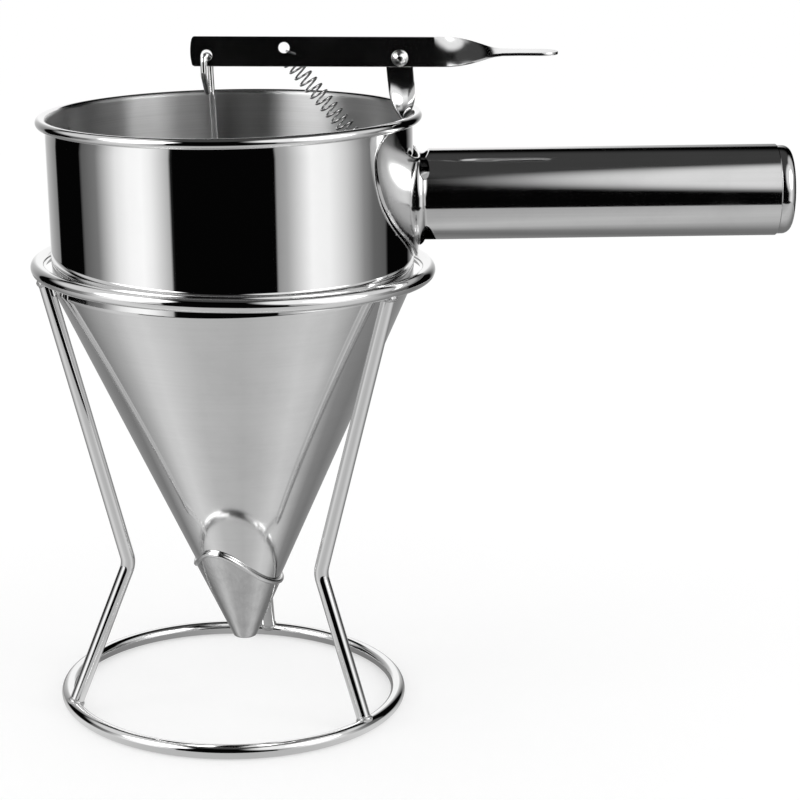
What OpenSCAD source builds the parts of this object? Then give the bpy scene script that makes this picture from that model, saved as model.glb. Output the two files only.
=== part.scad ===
// Hand-held batter funnel with a lever valve, standing in a wire stand.
// Millimetres. The origin is the centre of the base ring on the worktop.
// +Z is up, and +X points towards the handle.

/* [Stand] */
// Diameter of the stand's wire
wire_d = 5; // [3:0.5:7]
// Diameter of the base ring, between the wire's centres
base_ring_d = 118; // [90:1:160]
// Height of the top ring's centre above the worktop
top_ring_h = 157; // [140:1:200]
// Play between the hopper wall and the top ring, towards and away from the handle
ring_side_play = 2.2; // [0.5:0.1:5]
// Gap between the hopper wall and the ring where the ring carries it
seat_clear = 0.15; // [0.05:0.05:0.4]
// Distance of the legs' bends from the stand's axis
leg_bend_r = 36.4; // [30:0.2:55]
// Height of the legs' bends above the worktop
leg_bend_h = 53.4; // [35:0.2:70]
// Radius of the bend in a leg's wire
leg_bend_fillet = 8; // [4:0.5:15]
// Direction of the back leg, in degrees from the handle
leg_turn = 82.5; // [70:0.5:100]

/* [Hopper] */
// Outside diameter of the hopper where the wall meets the cone
hopper_d = 123.6; // [100:0.2:150]
// Height of the upright wall, from the cone to the middle of the rim
wall_h = 56; // [48:1:80]
// Outward draft of the wall, in degrees
wall_draft = 0.2; // [0:0.1:1.5]
// Thickness of the hopper's sheet
sheet_t = 0.6; // [0.4:0.1:1]
// Diameter of the rolled rim
rim_d = 3.4; // [2.6:0.1:5]
// Length of the cone, from the wall to the outlet
cone_len = 130; // [110:1:150]
// Height above the cone at which the stand's ring holds the wall
seat_above_cone = 5.1; // [3.5:0.1:12]
// How far the funnel leans away from the handle in the stand, in degrees
lean = 1.7; // [0:0.1:3]
// How far the funnel sits off the stand's axis, away from the handle
seat_offset = 0.1; // [0:0.1:2]

/* [Nozzle] */
// Diameter of the outlet
outlet_d = 6; // [5:0.5:9]
// Length of the outlet's straight bore
outlet_len = 3.5; // [2:0.5:6]
// Thickness of the nozzle's sleeve round the cone
sleeve_t = 0.8; // [0.5:0.1:1.2]
// Height of the sleeve's edge on the side away from the handle
sleeve_high = 34; // [26:1:40]
// Height of the sleeve's edge on the side towards the handle
sleeve_low = 20; // [17:1:25]
// Gap between the stopper plug and its seat
plug_clear = 0.25; // [0.1:0.05:0.4]

/* [Handle] */
// Outside diameter of the handle tube
handle_d = 31; // [24:1:40]
// Wall thickness of the handle tube
handle_t = 0.8; // [0.5:0.1:1.5]
// Length of the handle, from the hopper wall to the end of the cap
handle_len = 128.4; // [90:0.2:180]
// Depth of the handle's centre below the middle of the rim
handle_drop = 27.2; // [26:0.1:34]
// Thickness of the bracket's sheet
bracket_t = 1; // [0.6:0.1:1.5]
// How far the bracket's middle stands off the wall
bracket_stand = 1.6; // [1.2:0.1:2.5]
// Half the width of the bracket
bracket_half_w = 38; // [32:1:40]

/* [Lever] */
// Height of the lever's strip
lever_w = 10; // [8:0.5:14]
// Thickness of the lever's strip
lever_t = 1; // [0.8:0.1:2]
// Length of the lever beyond the pivot, to the end of the thumb tab
tab_reach = 53; // [42:1:70]
// Where the strip starts to twist, from the pivot
twist_start = 13.5; // [10:0.5:16]
// Length of the twist
twist_len = 20; // [14:1:24]
// Height of the pivot above the middle of the rim
pivot_rise = 19.2; // [16:0.1:24]
// How far the pivot stands in from the hopper wall
pivot_stand = 3.7; // [2:0.1:5]
// Height of the pivot above the lever's lower edge
pivot_inset = 3; // [2.8:0.1:4]
// Slope of the closed lever, down towards the thumb tab, in degrees
lever_slope = 0.9; // [0:0.1:3]
// How far the stopper rod hangs beyond the hopper's axis
hook_offset = 6.9; // [0:0.1:8]
// Distance from the hook hole to the spring's hole
spring_hole_pitch = 25.9; // [20:0.1:32]
// Diameter of the holes for the hook and the spring
lever_hole_d = 3.7; // [3.5:0.1:4.5]

/* [Pivot] */
// Diameter of the pivot screw
screw_d = 3; // [2.5:0.5:4]
// Radial clearance of the lever on the screw
pivot_clear = 0.05; // [0.02:0.01:0.1]
// Width of the post's strip
post_w = 9; // [7:0.5:12]
// Thickness of the post's strip
post_t = 1; // [0.8:0.1:1.5]
// Depth of the post's foot below the middle of the rim
post_depth = 25; // [20:1:30]

/* [Stopper] */
// Diameter of the stopper rod
rod_d = 2; // [1.6:0.1:2.5]
// Radius of the hook on the rod
hook_r = 2.25; // [2.1:0.05:3]

/* [Spring] */
// Diameter of the spring's wire
spring_wire_d = 0.7; // [0.5:0.1:1]
// Outside diameter of the spring
spring_d = 6.5; // [5:0.5:8]
// Number of turns
spring_turns = 20.25; // [10.25:1:22.25]

/* [Hidden] */
$fn = 96;

wire_r = wire_d / 2;
hopper_r = hopper_d / 2;
handle_r = handle_d / 2;
rim_r = rim_d / 2;
rod_r = rod_d / 2;
outlet_r = outlet_d / 2;

// Heights in the funnel's own frame: its axis is Z and its outlet is at zero
rim_z = cone_len + wall_h;
seat_z = cone_len + seat_above_cone;
handle_z = rim_z - handle_drop;
pivot_z = rim_z + pivot_rise;
foot_z = rim_z - post_depth;

// Outside and inside radius of the wall at a height
function wall_r(z) = hopper_r + (z - cone_len) * tan(wall_draft);
function wall_in(z) = wall_r(z) - sheet_t;

// Gap left between welded sheets, closed by the weld itself
join_gap = 0.05;

// The cone: its outside radius at a height, and its sheet measured across
cone_foot_r = outlet_r + 0.1;
cone_slope = (hopper_r - cone_foot_r) / cone_len;
cone_sheet = sheet_t / cos(atan(cone_slope));
sleeve_sheet = sleeve_t / cos(atan(cone_slope));
function cone_r(z) = cone_foot_r + z * cone_slope;

// The top ring is two half circles with a short straight stretch between them
ring_r = wall_r(seat_z) + seat_clear + wire_r;
ring_half = ring_side_play;

// Lever: distances along the strip from the pivot, and heights from its centre line
pivot_x = wall_in(rim_z) - pivot_stand;
hook_u = -(pivot_x + hook_offset);
spring_u = hook_u + spring_hole_pitch;
lever_end_u = hook_u - 5.5;
hook_v = 0.7;
spring_v = 3.3;
tab_twist = 88;
axial_gap = 0.05;
washer_t = 0.5;
post_half = post_t / 2;
lever_back_y = -post_half - washer_t - 2 * axial_gap;
lever_mid_y = lever_back_y - lever_t / 2;
lever_front_y = lever_back_y - lever_t;

// Places in the funnel's frame of points on the closed lever
function on_lever(u, v) = [
    pivot_x + u * cos(lever_slope) + v * sin(lever_slope),
    lever_mid_y,
    pivot_z - u * sin(lever_slope) + v * cos(lever_slope)
];

// Puts a piece of the funnel where it stands in the stand
module seated() {
    translate([-seat_offset, 0, top_ring_h])
        rotate([0, -lean, 0])
            translate([0, 0, -seat_z])
                children();
}

// Puts a piece drawn on the strip's centre line on the closed lever
module on_pivot() {
    translate([pivot_x, 0, pivot_z])
        rotate([0, lever_slope, 0])
            children();
}

// A round bar from one point to another
module bar(from, to, d) {
    along = to - from;
    reach = norm(along);
    translate(from)
        rotate([0, acos(along.z / reach), atan2(along.y, along.x)])
            cylinder(h = reach, d = d);
}

// A vector at length one, and the part of a vector that is square to a way, at length one
function unit(v) = v / norm(v);
function square_to(v, way) = unit(v - (v * way) * way);

// Sweeps a round wire along a path of points as one closed solid
module swept_wire(path, d, sides = 8) {
    count = len(path);
    ways = [
        for (i = [0:count - 1])
            unit(path[min(i + 1, count - 1)] - path[max(i - 1, 0)])
    ];
    first = unit(cross(ways[0], abs(ways[0].x) > 0.7 ? [0, 1, 0] : [1, 0, 0]));
    sideways = [
        for (i = 0, n = first; i < count; i = i + 1, n = square_to(n, ways[min(i, count - 1)])) n
    ];
    points = [
        for (i = [0:count - 1], k = [0:sides - 1])
            let (turn = k * 360 / sides)
            path[i] + d / 2 * (cos(turn) * sideways[i] + sin(turn) * cross(ways[i], sideways[i]))
    ];
    faces = concat(
        [[for (k = [sides - 1:-1:0]) k]],
        [[for (k = [0:sides - 1]) (count - 1) * sides + k]],
        [for (i = [0:count - 2], k = [0:sides - 1]) [
            i * sides + k, i * sides + (k + 1) % sides,
            (i + 1) * sides + (k + 1) % sides, (i + 1) * sides + k
        ]]
    );
    polyhedron(points, faces);
}

// ---------------------------------------------------------------- stand

module base_ring_wire() {
    translate([0, 0, wire_r])
        rotate_extrude()
            translate([base_ring_d / 2, 0])
                circle(d = wire_d);
}

module top_ring_wire() {
    translate([0, 0, top_ring_h]) {
        for (side = [-1, 1]) {
            translate([side * ring_half, 0, 0])
                rotate([0, 0, side > 0 ? -90 : 90])
                    rotate_extrude(angle = 180)
                        translate([ring_r, 0])
                            circle(d = wire_d);
            translate([-ring_half, side * ring_r, 0])
                rotate([0, 90, 0])
                    cylinder(h = 2 * ring_half, d = wire_d);
        }
    }
}

// Each leg stands in an upright plane through the centre of its half of the top ring
function leg_side(turn) = cos(turn) > 0 ? 1 : -1;
function leg_foot_r(turn) =
    let (shift = leg_side(turn) * ring_half)
    -shift * cos(turn) + sqrt(pow(base_ring_d / 2, 2) - pow(shift * sin(turn), 2));

// How far below the top ring the wall ends on a leg's side, where the lean lowers or lifts it
function wall_below(turn) = seat_above_cone - hopper_r * sin(lean) * cos(turn);

// How far outside the ring's centre line a leg meets it, to stay clear of the hopper wall
leg_clear = 0.3;
leg_rake = (ring_r - leg_bend_r) / (top_ring_h - leg_bend_h);
function head_out(turn) = max(0,
    leg_clear - seat_clear + wire_r * (sqrt(1 + leg_rake * leg_rake) - 1)
    + wall_below(turn) * leg_rake - ring_side_play * abs(cos(turn))
);

// Angle of a leg's upper and lower stretch from the horizontal
function upper_angle(turn) = atan2(top_ring_h - leg_bend_h, ring_r + head_out(turn) - leg_bend_r);
function lower_angle(turn) = atan2(leg_bend_h - wire_r, leg_foot_r(turn) - leg_bend_r);

module leg_place(turn) {
    translate([leg_side(turn) * ring_half, 0, 0])
        rotate([0, 0, turn])
            children();
}

// Distance from a ring's centre line at which a leg's wire is cut off, below the weld
leg_start = wire_r * 1.2;

// A leg's wire: up from the base ring, round the bend and out to the top ring
module leg_wire(turn) {
    low = lower_angle(turn);
    high = upper_angle(turn);
    bend_turn = 180 - high - low;
    cut_back = leg_bend_fillet * tan(bend_turn / 2);
    low_way = [cos(low), 0, -sin(low)];
    top_way = [cos(high), 0, sin(high)];
    corner = [leg_bend_r, 0, leg_bend_h];
    centre = corner + cut_back * low_way + leg_bend_fillet * [sin(low), 0, cos(low)];
    leg_place(turn)
        swept_wire(concat(
            [[leg_foot_r(turn), 0, wire_r] - leg_start * low_way],
            [for (i = [0:8]) let (a = 270 - low - i * bend_turn / 8)
                centre + leg_bend_fillet * [cos(a), 0, sin(a)]],
            [[ring_r, 0, top_ring_h] + head_out(turn) * [1, 0, 0]
                - (leg_start + head_out(turn) * cos(high)) * top_way]
        ), wire_d, 20);
}

// The collars of weld metal at the two ends of a leg
module leg_welds(turn) {
    $fn = 144;
    low = lower_angle(turn);
    high = upper_angle(turn);
    low_way = [cos(low), 0, -sin(low)];
    top_way = [cos(high), 0, sin(high)];
    foot = [leg_foot_r(turn), 0, wire_r];
    head = [ring_r + head_out(turn), 0, top_ring_h];
    difference() {
        leg_place(turn)
            for (joint = [[foot, low_way], [head, top_way]])
                difference() {
                    translate(joint[0] - wire_r * 1.1 * joint[1])
                        sphere(wire_r * 1.3);
                    bar(
                        joint[0] - (leg_start - join_gap) * joint[1],
                        joint[0] - 4 * wire_r * joint[1], wire_d
                    );
                }
        base_ring_wire();
        top_ring_wire();
    }
}

module stand_base_ring() {
    color("silver") base_ring_wire();
}

module stand_top_ring() {
    color("silver") top_ring_wire();
}

module stand_leg_back() {
    color("silver") leg_wire(leg_turn);
}

module stand_leg_right() {
    color("silver") leg_wire(leg_turn - 120);
}

module stand_leg_left() {
    color("silver") leg_wire(leg_turn + 120);
}

module stand_welds() {
    color("lightgray")
        for (turn = [leg_turn, leg_turn - 120, leg_turn + 120])
            leg_welds(turn);
}

// ---------------------------------------------------------------- hopper

module hopper_wall() {
    curl_x = wall_r(rim_z) + rim_r - sheet_t / 2;
    color("silver") seated()
        rotate_extrude() {
            polygon([
                [wall_in(cone_len), cone_len],
                [wall_r(cone_len), cone_len],
                [wall_r(rim_z), rim_z],
                [wall_in(rim_z), rim_z]
            ]);
            translate([curl_x, rim_z])
                difference() {
                    circle(r = rim_r, $fn = 48);
                    circle(r = rim_r - sheet_t, $fn = 48);
                    translate([-rim_r, -rim_r])
                        square([rim_r, rim_r * 0.9]);
                }
            translate([wall_in(rim_z) - 0.01, rim_z - 0.01])
                square([sheet_t + 0.01, 0.4]);
        }
}

module hopper_cone() {
    foot = sleeve_low * 0.5;
    color("silver") seated()
        rotate_extrude()
            polygon([
                [cone_r(foot) - cone_sheet, foot],
                [cone_r(foot), foot],
                [hopper_r, cone_len],
                [hopper_r - sheet_t, cone_len]
            ]);
}

// Height of the sleeve's edge: a flat S from the high side to the low side
function smooth(t) = t * t * (3 - 2 * t);
function sleeve_edge(x) =
    let (reach = cone_r(sleeve_high))
    let (t = min(1, max(0, (x + 0.3 * reach) / (1.3 * reach))))
    sleeve_high + (sleeve_low - sleeve_high) * smooth(t);

module nozzle_tip() {
    foot = sleeve_low * 0.5;
    top = sleeve_high + 4;
    edge_r = cone_r(top) + sleeve_t * 2;
    tip_round = 0.8;
    color("darkgray") seated()
        intersection() {
            rotate_extrude()
                polygon([
                    [outlet_r, 0],
                    [cone_r(0) + sleeve_sheet - tip_round, 0],
                    [cone_r(0) + sleeve_sheet - tip_round * 0.3, tip_round * 0.3],
                    [cone_r(tip_round) + sleeve_sheet, tip_round],
                    [cone_r(top) + sleeve_sheet, top],
                    [cone_r(top) + join_gap, top],
                    [cone_r(foot) + join_gap, foot],
                    [cone_r(foot) - cone_sheet, foot],
                    [outlet_r, outlet_len]
                ]);
            translate([0, edge_r, 0])
                rotate([90, 0, 0])
                    linear_extrude(2 * edge_r)
                        polygon(concat(
                            [[edge_r, -1], [-edge_r, -1]],
                            [for (i = [0:24]) let (x = -edge_r + i * edge_r / 12) [x, sleeve_edge(x)]]
                        ));
        }
}

// ---------------------------------------------------------------- handle

// The bracket's face is curved more tightly than the wall, so that its wings meet the wall
bracket_face = wall_r(handle_z) + bracket_stand + bracket_t;
wing_x = sqrt(pow(wall_r(handle_z) + bracket_t, 2) - pow(bracket_half_w, 2));
bracket_centre = (pow(bracket_face, 2) - pow(wing_x, 2) - pow(bracket_half_w, 2))
    / (2 * (bracket_face - wing_x));
bracket_r = bracket_face - bracket_centre;
bracket_crown = 260;
bracket_crown_z = handle_z + 4.5;

// The solid behind a face of the bracket, set in from its outer face
module bracket_core(inset) {
    reach = 40;
    translate([bracket_centre, 0, 0])
        intersection() {
            rotate_extrude()
                difference() {
                    translate([bracket_r - inset - bracket_crown, bracket_crown_z])
                        circle(r = bracket_crown, $fn = 720);
                    translate([-3 * bracket_crown, -2 * bracket_crown])
                        square([3 * bracket_crown, 4 * bracket_crown]);
                }
            translate([0, 0, bracket_crown_z - reach])
                cylinder(h = 2 * reach, r = bracket_r + 1);
        }
}

// Outline of the bracket seen along the handle: half widths and heights from the handle's centre
shield = [
    [0, -handle_r - 5.7], [10, -handle_r - 2.6], [bracket_half_w * 0.69, -8.5],
    [bracket_half_w * 0.89, 0], [bracket_half_w * 0.98, 8.5], [bracket_half_w, 17],
    [bracket_half_w * 0.95, 22], [bracket_half_w * 0.86, 25.2], [bracket_half_w * 0.77, 26],
    [bracket_half_w * 0.72, 23], [bracket_half_w * 0.64, 19.2], [bracket_half_w * 0.47, 15.8],
    [bracket_half_w * 0.22, handle_r - 1.6], [0, handle_r - 2]
];

// A smooth curve through the outline's points
function between(a, b, c, d, t) = 0.5 * (
    2 * b + (c - a) * t + (2 * a - 5 * b + 4 * c - d) * t * t
    + (3 * b - a - 3 * c + d) * t * t * t
);
function flip(p) = [-p.x, p.y];
last = len(shield) - 1;
function shield_at(i) = i < 0 ? flip(shield[-i]) : i > last ? flip(shield[2 * last - i]) : shield[i];
shield_half = [
    for (i = [0:last - 1], t = [0:0.25:0.75])
        between(shield_at(i - 1), shield_at(i), shield_at(i + 1), shield_at(i + 2), t)
];

module shield_plate() {
    translate([0, 0, handle_z])
        rotate([90, 0, 90])
            linear_extrude(hopper_r + 20)
                polygon(concat(
                    shield_half,
                    [shield[last]],
                    [for (i = [len(shield_half) - 1:-1:1]) flip(shield_half[i])]
                ));
}

module handle_bracket() {
    reach = 5;
    color("silver") seated()
        difference() {
            intersection() {
                difference() {
                    bracket_core(0);
                    bracket_core(bracket_t);
                }
                shield_plate();
            }
            translate([0, 0, cone_len - reach])
                cylinder(
                    h = wall_h + 2 * reach,
                    r1 = wall_r(cone_len - reach) + join_gap,
                    r2 = wall_r(rim_z + reach) + join_gap
                );
        }
}

// The notches at the handle's root: a shallow one across its crest, and an oval hole and an
// arch in its near side
module root_notches() {
    root = bracket_face;
    r = handle_r;
    clear = r + 4;
    hole_x = root + 2.2;
    hole_z = r * 0.68;
    translate([0, clear, handle_z])
        rotate([90, 0, 0])
            linear_extrude(2 * clear)
                polygon([
                    [root - 8, clear], [root - 8, r * 0.83], [root + 1, r * 0.83],
                    [root + 3, r], [root + 3, clear]
                ]);
    translate([0, -2, handle_z])
        rotate([90, 0, 0])
            linear_extrude(clear) {
                polygon([
                    for (a = [0:20:340]) [hole_x + 1.8 * cos(a), hole_z + 3.4 * sin(a)]
                ]);
                polygon([
                    [root + 0.6, -clear], [root + 0.6, -r * 0.8], [root + 1.6, -r * 0.64],
                    [root + 3, -r * 0.56], [root + 4.4, -r * 0.66], [root + 6.7, -r],
                    [root + 6.7, -clear]
                ]);
            }
}

handle_end = wall_r(handle_z) + handle_len;
cap_dome = 5;
cap_skirt = 6;
cap_r = handle_r - 0.5;
tube_end = handle_end - cap_dome;

// The tube ends at its root in a rounded lip that is welded to the bracket
module handle_tube() {
    lip_r = 2;
    lip_x = bracket_face - 1.6;
    color("silver") seated()
        difference() {
            translate([0, 0, handle_z])
                rotate([0, 90, 0])
                    rotate_extrude() {
                        translate([handle_r - handle_t, hopper_r - 5])
                            square([handle_t, tube_end - hopper_r + 5]);
                        translate([handle_r - handle_t, lip_x])
                            intersection() {
                                circle(lip_r + handle_t);
                                translate([0, -2 * lip_r])
                                    square(4 * lip_r);
                            }
                    }
            bracket_core(0);
            root_notches();
        }
}

module handle_end_cap() {
    edge = 3;
    skirt_r = handle_r - handle_t - 0.02;
    color("silver") seated()
        translate([tube_end, 0, handle_z])
            rotate([0, 90, 0])
                rotate_extrude()
                    difference() {
                        union() {
                            translate([0, -cap_skirt])
                                square([skirt_r, cap_skirt]);
                            square([cap_r - edge, cap_dome]);
                            square([cap_r, cap_dome - edge]);
                            translate([cap_r - edge, cap_dome - edge])
                                intersection() {
                                    circle(edge, $fn = 64);
                                    square(edge);
                                }
                        }
                        translate([0, -cap_skirt - 1])
                            square([skirt_r - handle_t, cap_skirt + 1 + cap_dome - edge]);
                        translate([0, -1])
                            square([cap_r - edge, cap_dome + 1 - handle_t]);
                    }
}

// ---------------------------------------------------------------- lever and pivot

module lever() {
    centre_v = lever_w / 2 - pivot_inset;
    corner = 2;
    lap = 0.04;
    twist_end = twist_start + twist_len;
    color("dimgray") seated() on_pivot() {
        translate([0, lever_back_y, 0])
            rotate([90, 0, 0])
                linear_extrude(lever_t)
                    difference() {
                        union() {
                            translate([lever_end_u + corner, -pivot_inset])
                                square([twist_start - lever_end_u - corner, lever_w]);
                            translate([lever_end_u, corner - pivot_inset])
                                square([corner + 1, lever_w - 2 * corner]);
                            for (v = [corner, lever_w - corner])
                                translate([lever_end_u + corner, v - pivot_inset])
                                    circle(corner);
                        }
                        circle(d = screw_d + 2 * pivot_clear);
                        translate([hook_u, hook_v]) circle(d = lever_hole_d);
                        translate([spring_u, spring_v]) circle(d = lever_hole_d);
                    }
        translate([twist_start - lap, lever_mid_y, centre_v])
            rotate([0, 90, 0])
                linear_extrude(
                    height = twist_len + 2 * lap, twist = tab_twist, slices = 28, segments = 4
                )
                    square([lever_w - lap, lever_t - lap], center = true);
        translate([twist_end, lever_mid_y, centre_v])
            rotate([-tab_twist, 0, 0])
                rotate([90, 0, 0])
                    translate([0, 0, -lever_t / 2])
                        linear_extrude(lever_t) {
                            translate([0, -lever_w / 2])
                                square([tab_reach - twist_end - lever_w / 2, lever_w]);
                            translate([tab_reach - twist_end - lever_w / 2, 0])
                                circle(d = lever_w);
                        }
    }
}

// The post lies on the inside of the wall at its foot, then leans in to the pivot
post_face = sqrt(pow(wall_in(foot_z), 2) - pow(post_w / 2, 2)) - 0.12;
post_knee_z = foot_z + 9;
post_flat_end = pivot_z - pivot_inset - 1;
post_twist_end = rim_z - 2;
lug_hole_d = 4;
lug_hole_x = 4.4;
post_rake = (post_face - post_half - pivot_x) / (post_flat_end - post_knee_z);
function post_at(z) = pivot_x + (post_flat_end - z) * post_rake;

module lever_post() {
    lug = 6.9;
    lap = 0.04;
    top = post_twist_end + lap;
    color("gray") seated() {
        translate([pivot_x, post_half, pivot_z])
            rotate([90, 0, 0])
                linear_extrude(post_t)
                    difference() {
                        union() {
                            circle(d = post_w);
                            translate([-post_w / 2, post_flat_end - pivot_z])
                                square([post_w, pivot_z - post_flat_end]);
                        }
                        circle(d = screw_d);
                    }
        translate([pivot_x, 0, post_flat_end + lap])
            rotate([180, -atan(post_rake), 0])
                linear_extrude(
                    height = (post_flat_end - post_twist_end + 2 * lap) / cos(atan(post_rake)),
                    twist = 90, slices = 28, segments = 4
                )
                    square([post_w - lap, post_t - lap], center = true);
        difference() {
            translate([0, post_w / 2, 0])
                rotate([90, 0, 0])
                    linear_extrude(post_w)
                        polygon([
                            [post_face, foot_z], [post_face, post_knee_z],
                            [post_at(top) + post_half, top], [post_at(top) - post_half, top],
                            [post_face - post_t, post_knee_z],
                            [post_face - post_t, foot_z + post_t],
                            [post_face - lug, foot_z + post_t], [post_face - lug, foot_z]
                        ]);
            translate([post_face - lug_hole_x, 0, foot_z - 1])
                cylinder(h = post_t + 2, d = lug_hole_d);
        }
    }
}

head_d = 5.6;
head_h = 1.8;
nut_w = 5.5;
nut_h = 2.4;

module pivot_screw() {
    front = lever_front_y - axial_gap;
    back = post_half + nut_h + 0.8;
    color("silver") seated()
        translate([pivot_x, front, pivot_z])
            rotate([-90, 0, 0])
                difference() {
                    union() {
                        cylinder(h = back - front, d = screw_d);
                        translate([0, 0, -head_h])
                            rotate_extrude()
                                polygon([
                                    [0, 0], [head_d * 0.3, 0], [head_d * 0.44, head_h * 0.25],
                                    [head_d / 2, head_h * 0.62], [head_d / 2, head_h], [0, head_h]
                                ]);
                    }
                    for (turn = [20, 110])
                        rotate([0, 0, turn])
                            translate([-head_d * 0.28, -0.35, -head_h - 1])
                                cube([head_d * 0.56, 0.7, 2]);
                }
}

module pivot_washer() {
    color("silver") seated()
        translate([pivot_x, -post_half, pivot_z])
            rotate([90, 0, 0])
                difference() {
                    cylinder(h = washer_t, d = head_d + 0.8);
                    translate([0, 0, -1])
                        cylinder(h = washer_t + 2, d = screw_d + 0.1);
                }
}

module pivot_nut() {
    color("silver") seated()
        translate([pivot_x, post_half, pivot_z])
            rotate([-90, 0, 0])
                difference() {
                    cylinder(h = nut_h, d = nut_w / cos(30), $fn = 6);
                    translate([0, 0, -1])
                        cylinder(h = nut_h + 2, d = screw_d);
                }
}

// ---------------------------------------------------------------- stopper

plug_seat_top = sleeve_low * 0.5;
plug_top = plug_seat_top + 6;
rod_straight = plug_top + 12;
hook_turn = 27;
hook_at = on_lever(hook_u, hook_v) - [0, 0, hook_r];
hook_step = hook_r * [sin(hook_turn), cos(hook_turn), 0];

// The rod's wire: up the outlet's axis, aslant to the hook, over it and down to the tail
rod_back = hook_at + hook_step;
rod_front = hook_at - hook_step;
rod_tail = [rod_back.x - 1.1, rod_back.y - 1.55, hook_at.z - 10.5];
rod_path = concat(
    [[0, 0, plug_seat_top], [0, 0, rod_straight - 2], [0, 0, rod_straight]],
    [rod_back - [0, 0, 2], rod_back],
    [for (a = [15:15:165]) hook_at + cos(a) * hook_step + [0, 0, hook_r * sin(a)]],
    [rod_front, rod_front - [0, 0, 2.6], rod_front - [0, 0, 4.4]],
    [rod_tail]
);

module stopper_rod() {
    color("silver") seated() swept_wire(rod_path, rod_d, 12);
}

module stopper_plug() {
    seat_slope = (cone_r(plug_seat_top) - cone_sheet - outlet_r) / (plug_seat_top - outlet_len);
    lift = plug_clear / sin(atan(seat_slope));
    foot = outlet_len + lift + 0.2;
    function seat_r(z) = outlet_r + (z - lift - outlet_len) * seat_slope;
    color("silver") seated()
        difference() {
            rotate_extrude()
                polygon([
                    [0, foot], [seat_r(foot), foot], [seat_r(plug_seat_top), plug_seat_top],
                    [seat_r(plug_seat_top) - 0.3, plug_seat_top + 1],
                    [rod_r + 1.2, plug_top], [0, plug_top]
                ]);
            translate([0, 0, plug_seat_top])
                cylinder(h = plug_top, d = rod_d + 0.04);
        }
}

// ---------------------------------------------------------------- spring

// The coil hangs behind the lever. Its upper hook comes forward through the lever's hole,
// and its lower loop passes through the hole in the post's lug.
coil_r = (spring_d - spring_wire_d) / 2;
spring_bite = lever_hole_d / 2 - spring_wire_d / 2 - 0.1;
spring_hole = on_lever(spring_u, spring_v);
spring_behind = lever_back_y + coil_r + spring_wire_d + 0.35;
spring_foot_end = [post_face - lug_hole_x - 0.2, 0, foot_z - 0.1];

// The hook's place on the hole's edge, and the line from there to the lug
spring_fall = unit([spring_foot_end.x - spring_hole.x, 0, spring_foot_end.z - spring_hole.z]);
spring_catch = spring_hole + spring_bite * spring_fall;
spring_start = [spring_catch.x - 0.6 * coil_r, spring_behind, spring_catch.z] + 3 * spring_fall;
spring_way = unit(spring_foot_end - spring_start);
spring_len = norm(spring_foot_end - spring_start) - coil_r;

// A frame on the spring: along it, across it to the side, and across it to the back
spring_side = unit(cross(spring_way, [0, 1, 0]));
spring_back = cross(spring_side, spring_way);
function on_spring(along, side, back) =
    spring_start + along * spring_way + side * spring_side + back * spring_back;

// A place by the hook: how far along a way from the catch, and at which depth
function by_catch(along, way, y) = [spring_catch.x, y, spring_catch.z] + along * way;
tail_way = unit([1, 0, -0.35]);
bend_out = 0.45;

turn_steps = 14;
coil_steps = floor(spring_turns * turn_steps);
hook_steps = 9;
spring_path = concat(
    [
        by_catch(3.2, tail_way, lever_front_y - bend_out - 0.15),
        by_catch(1.2, tail_way, lever_front_y - bend_out - 0.15),
        by_catch(0, tail_way, lever_front_y - bend_out),
        by_catch(0, tail_way, lever_back_y + bend_out),
        by_catch(1.6, spring_fall, lever_back_y + bend_out + 0.3)
    ],
    [for (i = [0:coil_steps]) let (a = i * 360 * spring_turns / coil_steps)
        on_spring(spring_len * i / coil_steps, coil_r * sin(a), -coil_r * cos(a))],
    [for (i = [1:hook_steps]) let (a = i * 200 / hook_steps)
        on_spring(spring_len + coil_r * sin(a), coil_r * cos(a), 0)]
);

module return_spring() {
    color("silver") seated() swept_wire(spring_path, spring_wire_d);
}

stand_base_ring();
stand_top_ring();
stand_leg_left();
stand_leg_right();
stand_leg_back();
stand_welds();
hopper_wall();
hopper_cone();
nozzle_tip();
handle_bracket();
handle_tube();
handle_end_cap();
lever_post();
pivot_screw();
pivot_washer();
pivot_nut();
lever();
return_spring();
stopper_rod();
stopper_plug();
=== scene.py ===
"""Looks of the batter funnel and its wire stand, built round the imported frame.

Sizes are in millimetres and meshes are made in metres. Each piece is shaped in
the frame of what carries it, and is then put where that stands on the worktop.
"""

import logging
from dataclasses import dataclass, field
from enum import Enum
from math import asin, atan, atan2, cos, degrees, hypot, pi, radians, sin, sqrt, tan, tau
from typing import Callable, Optional, Sequence

import bmesh
import bpy
from mathutils import Matrix, Vector


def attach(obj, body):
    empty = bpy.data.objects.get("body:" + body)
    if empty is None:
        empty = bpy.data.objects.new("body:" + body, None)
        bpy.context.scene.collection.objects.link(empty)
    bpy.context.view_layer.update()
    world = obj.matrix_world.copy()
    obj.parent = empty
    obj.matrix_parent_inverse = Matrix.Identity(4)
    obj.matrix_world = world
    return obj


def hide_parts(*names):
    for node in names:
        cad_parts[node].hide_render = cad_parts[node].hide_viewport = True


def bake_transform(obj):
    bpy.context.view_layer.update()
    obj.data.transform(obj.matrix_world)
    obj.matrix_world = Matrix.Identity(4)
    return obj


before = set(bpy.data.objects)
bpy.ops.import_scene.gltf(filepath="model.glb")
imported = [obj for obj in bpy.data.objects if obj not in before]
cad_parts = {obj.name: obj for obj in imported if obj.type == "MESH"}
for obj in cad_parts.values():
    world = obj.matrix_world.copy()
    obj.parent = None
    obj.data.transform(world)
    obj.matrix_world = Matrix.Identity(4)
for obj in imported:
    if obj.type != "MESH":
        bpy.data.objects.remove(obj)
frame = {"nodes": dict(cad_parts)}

LOG = logging.getLogger("batter_funnel")
MM = 0.001

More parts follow.
